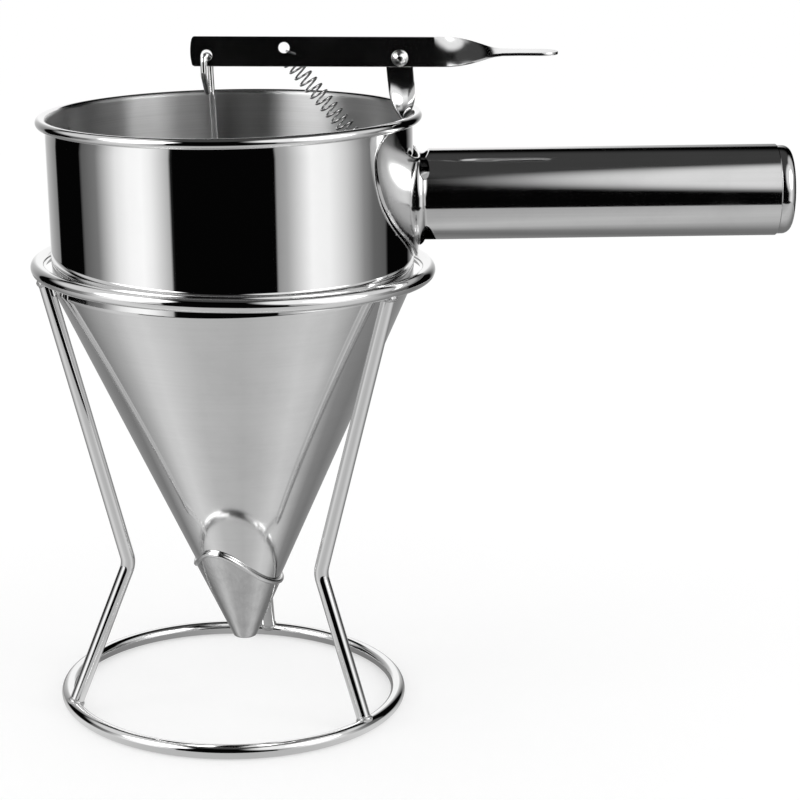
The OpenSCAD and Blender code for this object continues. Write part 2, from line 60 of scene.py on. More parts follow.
Points = Sequence[Sequence[float]]
Levels = tuple[tuple[float, float], ...]
Socket = bpy.types.NodeSocket
DARK = 0.0015
WHITE = (1, 1, 1, 1)
QUARTER_TURN = 0.25


class Body(Enum):
    """The moving bodies of the frame."""

    STAND = "stand"
    FUNNEL = "funnel"
    LEVER = "lever"
    STOPPER = "stopper"


class Slot(Enum):
    """The material slots of the record."""

    MIRROR = "mirror_sheet"
    SATIN = "satin_sheet"
    WIRE = "polished_wire"
    WELD = "weld_metal"
    HARDWARE = "plated_hardware"
    SPRING = "spring_wire"


class Cut(Enum):
    """What a cutter does to a piece."""

    AWAY = "DIFFERENCE"
    KEEP = "INTERSECT"


class Grain(Enum):
    """How the fine lines of a finish run."""

    NONE = 0
    ROUND_AXIS = 1
    LENGTHWISE = 2


# ---------------------------------------------------------------- workbench


def clear_selection() -> None:
    """Leaves edit mode and deselects everything."""
    if bpy.context.object and bpy.context.object.mode != "OBJECT":
        bpy.ops.object.mode_set(mode="OBJECT")
    bpy.ops.object.select_all(action="DESELECT")


def only(obj: bpy.types.Object) -> None:
    """Selects one object alone."""
    clear_selection()
    obj.select_set(True)
    bpy.context.view_layer.objects.active = obj


def edit(obj: bpy.types.Object) -> None:
    """Opens one object in edit mode."""
    only(obj)
    bpy.ops.object.mode_set(mode="EDIT")


def leave() -> None:
    """Goes back to object mode."""
    bpy.ops.object.mode_set(mode="OBJECT")


def everything() -> None:
    """Selects all of the mesh that is being edited."""
    bpy.ops.mesh.select_all(action="SELECT")


def push(way: Sequence[float]) -> None:
    """Extrudes what is selected along a way, in metres."""
    bpy.ops.mesh.extrude_region_move(TRANSFORM_OT_translate={"value": way})


def named(name: str) -> bpy.types.Object:
    """Gives the newest object and its mesh a name."""
    obj = bpy.context.active_object
    obj.name = obj.data.name = name
    return obj


def turn(angle: float, axis: str, centre: Sequence[float]) -> None:
    """Turns what is selected in edit mode by the right-hand rule.

    Args:
        angle: The angle in degrees.
        axis: X, Y or Z.
        centre: The point to turn about, in metres.
    """
    bpy.ops.transform.rotate(
        value=-radians(angle), orient_axis=axis, center_override=tuple(centre)
    )


def pick(obj: bpy.types.Object, wanted: Callable[[Vector, Vector], bool]) -> None:
    """Selects the faces of an object in edit mode by place and normal.

    Args:
        obj: The object, in edit mode.
        wanted: Says of a face's centre, in millimetres, and normal if it is wanted.
    """
    bpy.ops.mesh.select_all(action="DESELECT")
    bpy.ops.mesh.select_mode(type="FACE")
    mesh = bmesh.from_edit_mesh(obj.data)
    for face in mesh.faces:
        face.select_set(wanted(face.calc_center_median() / MM, face.normal))
    bmesh.update_edit_mesh(obj.data)


def close_up(obj: bpy.types.Object, gap: float = 0.001) -> None:
    """Merges the doubles of an object in edit mode and turns its faces outwards.

    Args:
        obj: The object, in edit mode; not used.
        gap: The largest distance between doubles, in millimetres.
    """
    everything()
    bpy.ops.mesh.remove_doubles(threshold=gap * MM)
    bpy.ops.mesh.normals_make_consistent(inside=False)


def heal(obj: bpy.types.Object, gap: float = 0.001) -> None:
    """Closes up an object that is in object mode."""
    edit(obj)
    close_up(obj, gap)
    leave()


def spin_round(obj: bpy.types.Object, steps: int) -> None:
    """Spins an object's section a full turn round Z and closes it."""
    everything()
    bpy.ops.mesh.spin(steps=steps, angle=2 * pi, center=(0, 0, 0), axis=(0, 0, 1))
    close_up(obj)
    leave()


def line(name: str, points: Points) -> bpy.types.Object:
    """Draws a line by extruding one vertex from point to point.

    Args:
        name: The new object's name.
        points: The points, in millimetres.

    Returns:
        The object, left in edit mode with its last vertex selected.
    """
    clear_selection()
    bpy.ops.mesh.primitive_plane_add(size=MM)
    obj = named(name)
    places = [Vector(point) * MM for point in points]
    bpy.ops.object.mode_set(mode="EDIT")
    bpy.ops.mesh.select_mode(type="VERT")
    everything()
    bpy.ops.mesh.merge(type="CENTER")
    bpy.ops.transform.translate(value=places[0])
    for here, there in zip(places, places[1:]):
        bpy.ops.mesh.extrude_vertices_move(TRANSFORM_OT_translate={"value": there - here})
    return obj


def lathe(name: str, profile: Points, sides: int = 256, closed: bool = True) -> bpy.types.Object:
    """Spins a profile of radius and height round the Z axis.

    Args:
        name: The new object's name.
        profile: Radii and heights, in millimetres.
        sides: The number of steps of the full turn.
        closed: Joins the last point to the first, as for a sheet's section.

    Returns:
        The closed object, in object mode.
    """
    points = [(r, 0.0, z) for r, z in profile]
    obj = line(name, points + points[:1] if closed else points)
    spin_round(obj, sides)
    return obj


def wire(name: str, path: Points, radius: float, sides: int = 20, loop: bool = False) -> bpy.types.Object:
    """Gives a line the round section of a wire.

    Args:
        name: The new object's name.
        path: The wire's centre line, in millimetres.
        radius: The wire's radius, in millimetres.
        sides: The number of sides of its section.
        loop: Joins the last point to the first.

    Returns:
        The mesh object, in object mode.
    """
    points = [tuple(point) for point in path]
    obj = line(name, points + points[:1] if loop else points)
    if loop:
        everything()
        bpy.ops.mesh.remove_doubles(threshold=1e-7)
    leave()
    bpy.ops.object.convert(target="CURVE")
    curve = bpy.context.active_object.data
    curve.dimensions = "3D"
    curve.bevel_depth = radius * MM
    curve.bevel_resolution = (sides - 4) // 2
    curve.use_fill_caps = not loop
    bpy.ops.object.convert(target="MESH")
    obj = named(name)
    heal(obj, 0.0001)
    return obj


def slab(name: str, outline: Points, way: Sequence[float], steps: int = 1) -> bpy.types.Object:
    """Fills an outline and extrudes it.

    Args:
        name: The new object's name.
        outline: The outline's corners, in millimetres.
        way: How far and which way it is extruded, in millimetres.
        steps: The number of steps it is extruded in.

    Returns:
        The closed object, in object mode.
    """
    obj = line(name, outline)
    everything()
    bpy.ops.mesh.edge_face_add()
    for _ in range(steps):
        push(Vector(way) * MM / steps)
    close_up(obj)
    leave()
    return obj


def rod_cutter(name: str, radius: float, length: float, matrix: Matrix) -> bpy.types.Object:
    """Makes a round cutter.

    Args:
        name: The cutter's name.
        radius: Its radius, in millimetres.
        length: Its length along Z, in millimetres.
        matrix: Where its middle goes.

    Returns:
        The cutter.
    """
    half = length / 2
    obj = lathe(name, [(0, -half), (radius, -half), (radius, half), (0, half)], 64, closed=False)
    place(obj, matrix)
    return obj


def place(obj: bpy.types.Object, matrix: Matrix) -> None:
    """Puts an object in place, with its place in its mesh."""
    only(obj)
    obj.matrix_world = matrix @ obj.matrix_world
    bpy.ops.object.transform_apply(location=True, rotation=True, scale=True)


def apply(obj: bpy.types.Object, kind: str, **settings: object) -> None:
    """Adds a modifier with its settings and applies it.

    Args:
        obj: The object.
        kind: The modifier's type.
        **settings: Its properties.
    """
    only(obj)
    modifier = obj.modifiers.new(kind.lower(), kind)
    for key, value in settings.items():
        setattr(modifier, key, value)
    bpy.ops.object.modifier_apply(modifier=modifier.name)


def cut(obj: bpy.types.Object, cutter: bpy.types.Object, how: Cut = Cut.AWAY) -> None:
    """Cuts an object with another, which is then thrown away."""
    apply(obj, "BOOLEAN", object=cutter, operation=how.value, solver="EXACT")
    bpy.data.objects.remove(cutter)


def soften(obj: bpy.types.Object, width: float, segments: int = 2, angle: float = 35) -> None:
    """Rounds the sharp edges of a cut sheet.

    Args:
        obj: The object.
        width: The width of the rounding, in millimetres.
        segments: The number of faces across it.
        angle: The smallest angle of an edge that is rounded, in degrees.
    """
    apply(
        obj, "BEVEL", width=width * MM, segments=segments, limit_method="ANGLE",
        angle_limit=radians(angle), use_clamp_overlap=False, miter_outer="MITER_ARC",
    )


def smooth(obj: bpy.types.Object, angle: float = 40, level: bool = False) -> None:
    """Shades an object smooth up to an angle.

    Args:
        obj: The object.
        angle: Edges sharper than this stay sharp, in degrees.
        level: Keeps large flat faces flat beside small roundings.
    """
    only(obj)
    bpy.ops.object.shade_smooth_by_angle(angle=radians(angle))
    if level:
        apply(obj, "WEIGHTED_NORMAL", mode="FACE_AREA", weight=80, keep_sharp=True)


def join(pieces: Sequence[bpy.types.Object]) -> bpy.types.Object:
    """Joins meshes into the first one."""
    only(pieces[0])
    for piece in pieces[1:]:
        piece.select_set(True)
    bpy.ops.object.join()
    return bpy.context.active_object


def copy_of(obj: bpy.types.Object, matrix: Matrix) -> bpy.types.Object:
    """Copies a piece with a mesh of its own and puts the copy in place."""
    only(obj)
    bpy.ops.object.duplicate(linked=False)
    new = bpy.context.active_object
    place(new, matrix)
    return new


def spin(angle: float, axis: str) -> Matrix:
    """A turn in degrees about an axis."""
    return Matrix.Rotation(radians(angle), 4, axis)


def shift(x: float, y: float, z: float) -> Matrix:
    """A move in millimetres."""
    return Matrix.Translation((x * MM, y * MM, z * MM))


def dress(obj: bpy.types.Object, *finishes: "Steel") -> None:
    """Gives an object its materials, one slot for each finish."""
    obj.data.materials.clear()
    for finish in finishes:
        obj.data.materials.append(finish.material())


def dress_part(obj: bpy.types.Object, slot: int, wanted: Callable[[Vector, Vector], bool]) -> None:
    """Puts some faces of an object into another of its material slots.

    Args:
        obj: The object.
        slot: The slot's number.
        wanted: Says of a face's centre, in millimetres, and normal if it is wanted.
    """
    edit(obj)
    pick(obj, wanted)
    obj.active_material_index = slot
    bpy.ops.object.material_slot_assign()
    leave()


def faces_in(place_: Vector, normal: Vector) -> bool:
    """Says if a face at a place looks towards the Z axis."""
    return normal.x * place_.x + normal.y * place_.y < 0


def hand_over(obj: bpy.types.Object, body: Body, slot: Slot, *nodes: str) -> None:
    """Makes a piece ride on its body and stand for its nodes, and reports it.

    Args:
        obj: The finished piece.
        body: The body that carries it.
        slot: The record's material slot; not used.
        *nodes: The frame's nodes that it stands for.
    """
    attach(obj, body.value)
    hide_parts(*nodes)
    LOG.info("%s: %d faces, on %s, for %s", obj.name, len(obj.data.polygons), body.value, ", ".join(nodes))


def arc(
    centre: Sequence[float], radius: float, start: float, end: float, steps: int
) -> list[tuple[float, float]]:
    """Points on an arc in a plane.

    Args:
        centre: The arc's centre.
        radius: Its radius.
        start: Its first angle, in degrees.
        end: Its last angle, in degrees.
        steps: The number of steps.

    Returns:
        The points, both ends included.
    """
    angles = [radians(start + (end - start) * i / steps) for i in range(steps + 1)]
    return [(centre[0] + radius * cos(a), centre[1] + radius * sin(a)) for a in angles]


def stretch(start: Sequence[float], end: Sequence[float], steps: int) -> list[tuple[float, ...]]:
    """Points from one to another, the first left out.

    Args:
        start: The first point.
        end: The last point.
        steps: The number of steps.

    Returns:
        The points after the first one.
    """
    return [tuple(a + (b - a) * i / steps for a, b in zip(start, end)) for i in range(1, steps + 1)]


# ---------------------------------------------------------------- finishes


class NodeBench:
    """Adds and joins the nodes of one tree."""

    def __init__(self, tree: bpy.types.NodeTree) -> None:
        """Takes the tree to build in."""
        self.tree = tree

    def add(self, kind: str, inputs: Optional[dict] = None, **settings: object) -> bpy.types.Node:
        """Adds a node.

        Args:
            kind: The node's type.
            inputs: Values or other nodes' outputs, by the input's name or number.
            **settings: The node's properties.

        Returns:
            The node.
        """
        node = self.tree.nodes.new(kind)
        for key, value in settings.items():
            setattr(node, key, value)
        for key, value in (inputs or {}).items():
            if isinstance(value, Socket):
                self.tree.links.new(value, node.inputs[key])
            else:
                node.inputs[key].default_value = value
        return node

    def maths(self, operation: str, *values: object) -> Socket:
        """Adds a math node and returns its output."""
        node = self.add("ShaderNodeMath", dict(enumerate(values)), operation=operation)
        return node.outputs[0]

    def vector(self, operation: str, *values: object) -> bpy.types.Node:
        """Adds a vector math node."""
        return self.add("ShaderNodeVectorMath", dict(enumerate(values)), operation=operation)

    def map_range(
        self, value: Socket, low: float, high: float,
        to: tuple[float, float] = (0.0, 1.0), smooth_step: bool = False,
    ) -> Socket:
        """Maps a value from one range to another.

        Args:
            value: The value.
            low: Its lower end.
            high: Its upper end.
            to: What the two ends become.
            smooth_step: Eases both ends.

        Returns:
            The mapped value.
        """
        node = self.add(
            "ShaderNodeMapRange",
            {"Value": value, "From Min": low, "From Max": high, "To Min": to[0], "To Max": to[1]},
            interpolation_type="SMOOTHSTEP" if smooth_step else "LINEAR",
        )
        return node.outputs["Result"]


def blank_material(name: str) -> tuple[bpy.types.Material, NodeBench]:
    """Starts a material with an empty tree, and gives it with its bench."""
    made = bpy.data.materials.new(name)
    made.use_nodes = True
    made.node_tree.nodes.clear()
    return made, NodeBench(made.node_tree)


def new_group(
    name: str, inputs: Sequence[tuple[str, str, object]], outputs: Sequence[str]
) -> tuple[bpy.types.NodeTree, NodeBench, bpy.types.Node, bpy.types.Node]:
    """Starts a shader node group.

    Args:
        name: The group's name.
        inputs: The name, kind and value of each input.
        outputs: The names of its outputs, which are numbers.

    Returns:
        The group, its bench, its input node and its output node.
    """
    tree = bpy.data.node_groups.new(name, "ShaderNodeTree")
    for label, kind, value in inputs:
        socket = tree.interface.new_socket(label, in_out="INPUT", socket_type=f"NodeSocket{kind}")
        if value is not None:
            socket.default_value = value
    for label in outputs:
        tree.interface.new_socket(label, in_out="OUTPUT", socket_type="NodeSocketFloat")
    bench = NodeBench(tree)
    return tree, bench, bench.add("NodeGroupInput"), bench.add("NodeGroupOutput")


class Effects:
    """The effects that several finishes share."""

    def __init__(self) -> None:
        """Builds each group once."""
        self.brushing = self._brushing()
        self.handling = self._handling()

    @staticmethod
    def _brushing() -> bpy.types.NodeTree:
        """Fine lines along a surface, in two sizes, between 0 and 1."""
        tree, bench, given, out = new_group(
            "brushing",
            [
                ("Position", "Vector", None), ("Spread", "Vector", (40.0, 40.0, 4000.0)),
                ("Depth", "Float", 1.0),
            ],
            ["Lines", "Height"],
        )
        spread = bench.vector("MULTIPLY", given.outputs["Position"], given.outputs["Spread"])
        fine = bench.add("ShaderNodeTexNoise", {"Vector": spread.outputs[0], "Scale": 1.0, "Detail": 3.0})
        broad = bench.add("ShaderNodeTexNoise", {"Vector": spread.outputs[0], "Scale": 0.22, "Detail": 2.0})
        most = bench.maths("MULTIPLY", fine.outputs[0], 0.6)
        both = bench.maths("ADD", most, bench.maths("MULTIPLY", broad.outputs[0], 0.4))
        lines = bench.map_range(both, 0.33, 0.67)
        bench.tree.links.new(lines, out.inputs["Lines"])
        bench.tree.links.new(bench.maths("MULTIPLY", lines, given.outputs["Depth"]), out.inputs["Height"])
        return tree

    @staticmethod
    def _handling() -> bpy.types.NodeTree:
        """Faint blotches of handling, between 0 and 1, and the slight waves of rolled sheet."""
        tree, bench, given, out = new_group(
            "handling",
            [("Position", "Vector", None), ("Size", "Float", 60.0), ("Waves", "Float", 12.0)],
            ["Marks", "Waves"],
        )
        place_, size, waves = (given.outputs[key] for key in ("Position", "Size", "Waves"))
        cloud = bench.add(
            "ShaderNodeTexNoise", {"Vector": place_, "Scale": size, "Detail": 5.0, "Roughness": 0.62}
        )
        swell = bench.add("ShaderNodeTexNoise", {"Vector": place_, "Scale": waves, "Detail": 0.0})
        marks = bench.map_range(cloud.outputs[0], 0.42, 0.72, smooth_step=True)
        bench.tree.links.new(marks, out.inputs["Marks"])
        bench.tree.links.new(swell.outputs[0], out.inputs["Waves"])
        return tree


@dataclass(frozen=True)
class Steel:
    """One finish of bare or plated metal.

    The grain's spread gives lines per metre along each axis of the finish's own
    frame. For a turned finish the first two count round the axis.
    """

    name: str
    shade: float = 0.87
    tone: tuple[float, float, float] = (1.0, 1.0, 1.0)
    gloss: float = 0.03
    haze: float = 0.03
    grain: Grain = Grain.NONE
    spread: tuple[float, float, float] = (3.0, 3.0, 4000.0)
    lines: float = 0.0
    line_depth: float = 0.0
    line_shade: float = 0.0
    mark_size: float = 60.0
    marks: float = 0.02
    wave_size: float = 12.0
    wave_depth: float = 0.0
    anisotropy: float = 0.0
    frame: tuple[tuple[float, ...], ...] = field(default=tuple(tuple(row) for row in Matrix.Identity(4)))

    def _position(self, bench: NodeBench) -> Socket:
        """Places the pattern on the piece, turned to its axis."""
        inverse = Matrix(self.frame).inverted()
        place_, turn_, _ = inverse.decompose()
        coords = bench.add("ShaderNodeTexCoord")
        mapping = bench.add(
            "ShaderNodeMapping",
            {"Vector": coords.outputs["Object"], "Location": place_, "Rotation": turn_.to_euler()},
        )
        if self.grain is not Grain.ROUND_AXIS:
            return mapping.outputs[0]
        apart = bench.add("ShaderNodeSeparateXYZ", {0: mapping.outputs[0]})
        flat = bench.add("ShaderNodeCombineXYZ", {0: apart.outputs[0], 1: apart.outputs[1]})
        way = bench.vector("NORMALIZE", flat.outputs[0])
        split = bench.add("ShaderNodeSeparateXYZ", {0: way.outputs[0]})
        whole = bench.add(
            "ShaderNodeCombineXYZ", {0: split.outputs[0], 1: split.outputs[1], 2: apart.outputs[2]}
        )
        return whole.outputs[0]

    def material(self) -> bpy.types.Material:
        """Builds the material once.

        Returns:
            The material.
        """
        made = bpy.data.materials.get(self.name)
        if made:
            return made
        made, bench = blank_material(self.name)
        position = self._position(bench)
        plain = bench.add("ShaderNodeTexCoord").outputs["Object"]
        handling = bench.add(
            "ShaderNodeGroup", {"Position": plain, "Size": self.mark_size, "Waves": self.wave_size},
            node_tree=EFFECTS.handling,
        )
        brushing = bench.add(
            "ShaderNodeGroup", {"Position": position, "Spread": self.spread, "Depth": self.line_depth},
            node_tree=EFFECTS.brushing,
        )
        marks = bench.map_range(handling.outputs["Marks"], 0, 1, (self.gloss, self.gloss + self.haze))
        rough = bench.maths("ADD", marks, bench.maths("MULTIPLY", brushing.outputs["Lines"], self.lines))
        shades = (self.shade * (1 - self.line_shade), self.shade)
        light = bench.map_range(brushing.outputs["Lines"], 0, 1, shades)
        worn = bench.map_range(handling.outputs["Marks"], 0, 1, (1.0, 1.0 - self.marks))
        level = bench.maths("MULTIPLY", light, worn)
        colour = bench.vector("SCALE", self.tone)
        made.node_tree.links.new(level, colour.inputs["Scale"])
        waves = bench.maths("MULTIPLY", handling.outputs["Waves"], self.wave_depth)
        height = bench.maths("ADD", brushing.outputs["Height"], waves)
        bump = bench.add("ShaderNodeBump", {"Height": height, "Strength": 1.0, "Distance": MM})
        shader = bench.add(
            "ShaderNodeBsdfPrincipled",
            {
                "Base Color": colour.outputs[0], "Metallic": 1.0, "Roughness": rough,
                "Normal": bump.outputs[0],
                "Anisotropic": self.anisotropy, "Anisotropic Rotation": QUARTER_TURN,
            },
        )
        bench.add("ShaderNodeOutputMaterial", {"Surface": shader.outputs[0]})
        return made


# ---------------------------------------------------------------- shared frames


@dataclass(frozen=True)
class Funnel:
    """The funnel's own frame: its axis is Z and its outlet is at zero."""

    hopper_r: float = 61.8
    cone_len: float = 130.0
    wall_h: float = 56.0
    draft: float = 0.2
    sheet: float = 0.6
    rim_r: float = 1.7
    outlet_r: float = 3.0
    seat_z: float = 135.1
    ring_z: float = 157.0
    lean: float = 1.7
    offset: float = 0.1
    handle_drop: float = 27.2

    @property
    def rim_z(self) -> float:
        """Height of the middle of the rim."""
        return self.cone_len + self.wall_h

    @property
    def handle_z(self) -> float:
        """Height of the handle's axis."""
        return self.rim_z - self.handle_drop

    def wall_r(self, z: float) -> float:
        """Outside radius of the wall at a height."""
        return self.hopper_r + (z - self.cone_len) * tan(radians(self.draft))

    def wall_in(self, z: float) -> float:
        """Inside radius of the wall at a height."""
        return self.wall_r(z) - self.sheet

    @property
    def cone_slope(self) -> float:
        """How much the cone's radius grows with height."""
        return (self.hopper_r - self.outlet_r - 0.1) / self.cone_len

    def cone_r(self, z: float) -> float:
        """Outside radius of the cone at a height."""
        return self.outlet_r + 0.1 + z * self.cone_slope

    def frame(self) -> Matrix:
        """Where the funnel stands in the stand."""
        return (
            shift(-self.offset, 0, self.ring_z)
            @ spin(-self.lean, "Y")
            @ shift(0, 0, -self.seat_z)
        )


def rows(matrix: Matrix) -> tuple[tuple[float, ...], ...]:
    """A matrix as plain numbers."""
    return tuple(tuple(row) for row in matrix)


FUNNEL = Funnel()
UPRIGHT = FUNNEL.frame()
HANDLE_AXIS = UPRIGHT @ shift(0, 0, FUNNEL.handle_z) @ spin(90, "Y")
EFFECTS = Effects()

MIRROR_WALL = Steel(
    "mirror_wall", gloss=0.025, haze=0.02, wave_size=22, wave_depth=0.012, frame=rows(UPRIGHT)
)
# Inside of the wall: real brushed lines, and a colour darker than the outside sheet, which is painted shade
# of the hollow.
BRUSHED_INSIDE_PAINTED_SHADE = Steel(
    "brushed_inside_painted_shade", shade=0.62, gloss=0.30, haze=0.02, grain=Grain.ROUND_AXIS, spread=(2.2, 2.2, 2600.0),
    lines=0.05, line_depth=0.002, line_shade=0.12, anisotropy=0.98, frame=rows(UPRIGHT),
)
# Inside of the cone: real brushed lines, and a much darker colour, which is painted shade deep in the
# hollow.
CONE_INSIDE_PAINTED_SHADE = Steel(
    "satin_inside_painted_shade", shade=0.34, gloss=0.30, haze=0.04, grain=Grain.ROUND_AXIS, spread=(2.2, 2.2, 2000.0),
    lines=0.05, line_depth=0.002, line_shade=0.10, frame=rows(UPRIGHT),
)
SATIN_CONE = Steel(
    "satin_cone", gloss=0.06, haze=0.05, grain=Grain.ROUND_AXIS, spread=(1.6, 1.6, 1500.0),
    lines=0.02, line_depth=0.0003, line_shade=0.03, mark_size=34, marks=0.06, frame=rows(UPRIGHT),
)
SATIN_NOZZLE = Steel(
    "satin_nozzle", shade=0.72, gloss=0.08, haze=0.07, grain=Grain.LENGTHWISE, spread=(900.0, 900.0, 25.0),
    lines=0.06, line_depth=0.002, line_shade=0.10, mark_size=120, marks=0.12, frame=rows(UPRIGHT),
)
POLISHED_HANDLE = Steel(
    "polished_handle", shade=0.72, gloss=0.05, haze=0.04,
    grain=Grain.LENGTHWISE, spread=(1500.0, 1500.0, 9.0), lines=0.05, line_depth=0.0015,
    line_shade=0.05, mark_size=70, marks=0.04, wave_size=30, wave_depth=0.006,
    frame=rows(HANDLE_AXIS),
)
MIRROR_BRACKET = Steel("mirror_bracket", gloss=0.12, haze=0.04, wave_size=45, wave_depth=0.006)
MIRROR_STRIP = Steel("mirror_strip", shade=0.80, gloss=0.13, haze=0.05, wave_size=40, wave_depth=0.004)
CHROME_WIRE = Steel("chrome_wire", shade=0.90, gloss=0.04, haze=0.03, wave_size=90, wave_depth=0.006)
WELD_METAL = Steel(
    "weld_metal", shade=0.82, gloss=0.12, haze=0.14, mark_size=500, wave_size=520, wave_depth=0.12
)
PLATED_SCREW = Steel("plated_screw", shade=0.86, gloss=0.10, haze=0.06, mark_size=300)
SPRING_STEEL = Steel("spring_steel", shade=0.5, gloss=0.14, haze=0.06, mark_size=400)


# ---------------------------------------------------------------- stand


@dataclass
class Stand:
    """The wire stand: two rings and three bent legs, welded."""

    wire_r: float = 2.5
    base_r: float = 59.0
    ring_z: float = 157.0
    play: float = 2.2
    seat_clear: float = 0.15
    bend_r: float = 36.4
    bend_z: float = 53.4
    fillet: float = 8.0
    turns: tuple[float, ...] = (82.5, -37.5, 202.5)
    names: tuple[str, ...] = ("back", "right", "left")
    leg_clear: float = 0.3
    ring_steps: int = 240
    seat_above_cone: float = 5.1

    @property
    def ring_r(self) -> float:
        """Radius of the top ring's half circles."""
        return FUNNEL.wall_r(FUNNEL.seat_z) + self.seat_clear + self.wire_r

    def section(self) -> list[tuple[float, float]]:
        """The ring wire's round section."""
        return arc((0, 0), self.wire_r, 0, 360, 32)

    def base_ring(self) -> None:
        """Spins the base ring."""
        section = [(self.base_r + x, 0, self.wire_r + z) for x, z in self.section()]
        obj = line("Stand_Base_Ring", section)
        spin_round(obj, self.ring_steps)
        smooth(obj, 60)
        dress(obj, CHROME_WIRE)
        hand_over(obj, Body.STAND, Slot.WIRE, "stand_base_ring")

    def top_ring(self) -> None:
        """Spins the two halves of the top ring, with the short straights between them."""
        halves = []
        for side in (1, -1):
            section = [(0, -self.ring_r - x, self.ring_z + z) for x, z in self.section()]
            obj = line("Stand_Top_Ring", section)
            everything()
            push((self.play * MM, 0, 0))
            bpy.ops.mesh.spin(
                steps=self.ring_steps // 2, angle=-pi, center=(self.play * MM, 0, 0), axis=(0, 0, 1)
            )
            push((-self.play * MM, 0, 0))
            leave()
            if side < 0:
                place(obj, Matrix.Rotation(pi, 4, "Z"))
            halves.append(obj)
        obj = join(halves)
        heal(obj)
        smooth(obj, 60)
        dress(obj, CHROME_WIRE)
        hand_over(obj, Body.STAND, Slot.WIRE, "stand_top_ring")

    def aside(self, way: float) -> float:
        """How far the centre of a leg's half of the top ring lies off the middle."""
        return self.play if cos(radians(way)) > 0 else -self.play

    def head_out(self, way: float) -> float:
        """How far outside the ring's centre line a leg meets it."""
        rake = (self.ring_r - self.bend_r) / (self.ring_z - self.bend_z)
        below = self.seat_above_cone - FUNNEL.hopper_r * sin(radians(FUNNEL.lean)) * cos(radians(way))
        swell = self.wire_r * (hypot(1, rake) - 1)
        slack = self.play * abs(cos(radians(way)))
        return max(0.0, self.leg_clear - self.seat_clear + swell + below * rake - slack)

    def ends(self, way: float) -> tuple[Vector, Vector, Vector]:
        """Foot, bend and head of a leg in its own upright plane.

        Args:
            way: The leg's direction, in degrees.

        Returns:
            The three corners of its centre line, in millimetres.
        """
        aside, turned = self.aside(way), radians(way)
        foot_r = -aside * cos(turned) + sqrt(self.base_r**2 - (aside * sin(turned)) ** 2)
        return (
            Vector((foot_r, 0, self.wire_r)),
            Vector((self.bend_r, 0, self.bend_z)),
            Vector((self.ring_r + self.head_out(way), 0, self.ring_z)),
        )

    def plane(self, way: float) -> Matrix:
        """Where a leg's plane stands."""
        return shift(self.aside(way), 0, 0) @ spin(way, "Z")

    def legs(self) -> None:
        """Bends the three legs."""
        for way, name in zip(self.turns, self.names):
            foot, bend, head = self.ends(way)
            down, up = (foot - bend).normalized(), (head - bend).normalized()
            low, high = atan2(-down.z, down.x), atan2(up.z, up.x)
            bent = pi - high - low
            back = self.fillet * tan(bent / 2)
            middle = bend + down * back + Vector((sin(low), 0, cos(low))) * self.fillet
            turned = [1.5 * pi - low - bent * i / 16 for i in range(17)]
            curve = [middle + Vector((cos(a), 0, sin(a))) * self.fillet for a in turned]
            near, far = curve[0] + down * 0.8, curve[-1] + up * 0.8
            first, last = foot - down * 1.2, head - up * 1.2
            path = [first, *stretch(first, near, 5), *curve, far, *stretch(far, last, 10)]
            obj = wire(f"Stand_Leg_{name.title()}", path, self.wire_r, 28)
            place(obj, self.plane(way))
            smooth(obj, 50)
            dress(obj, CHROME_WIRE)
            hand_over(obj, Body.STAND, Slot.WIRE, f"stand_leg_{name}")

    def welds(self) -> None:
        """Lays an uneven bead of weld where each leg meets a ring."""
        clear_selection()
        bpy.ops.mesh.primitive_ico_sphere_add(subdivisions=3, radius=self.wire_r * 1.18 * MM)
        blob = named("Stand_Welds")
        bpy.ops.object.mode_set(mode="EDIT")
        everything()
        bpy.ops.transform.vertex_random(offset=0.10 * MM, uniform=0.0, normal=0.7, seed=3)
        bpy.ops.transform.resize(value=(1.0, 1.05, 0.62))
        leave()
        apply(blob, "SUBSURF", levels=2, render_levels=2)
        beads = []
        for number, way in enumerate(self.turns):
            foot, bend, head = self.ends(way)
            for end, along in ((foot, (foot - bend).normalized()), (head, (head - bend).normalized())):
                for step, size, start in ((1.9, 1.0, 40), (2.9, 0.86, 170)):
                    spot = end - along * step
                    lie = along.to_track_quat("Z", "Y").to_matrix().to_4x4()
                    twist = spin(start + 77 * number, "Z")
                    seat = self.plane(way) @ Matrix.Translation(spot * MM) @ lie @ twist
                    beads.append(copy_of(blob, seat @ Matrix.Scale(size, 4)))
        bpy.data.objects.remove(blob)
        obj = join(beads)
        obj.name = obj.data.name = "Stand_Welds"
        smooth(obj, 180)
        dress(obj, WELD_METAL)
        hand_over(obj, Body.STAND, Slot.WELD, "stand_welds")

    def build(self) -> None:
        """Builds the stand."""
        self.base_ring()
        self.top_ring()
        self.legs()
        self.welds()


# ---------------------------------------------------------------- hopper


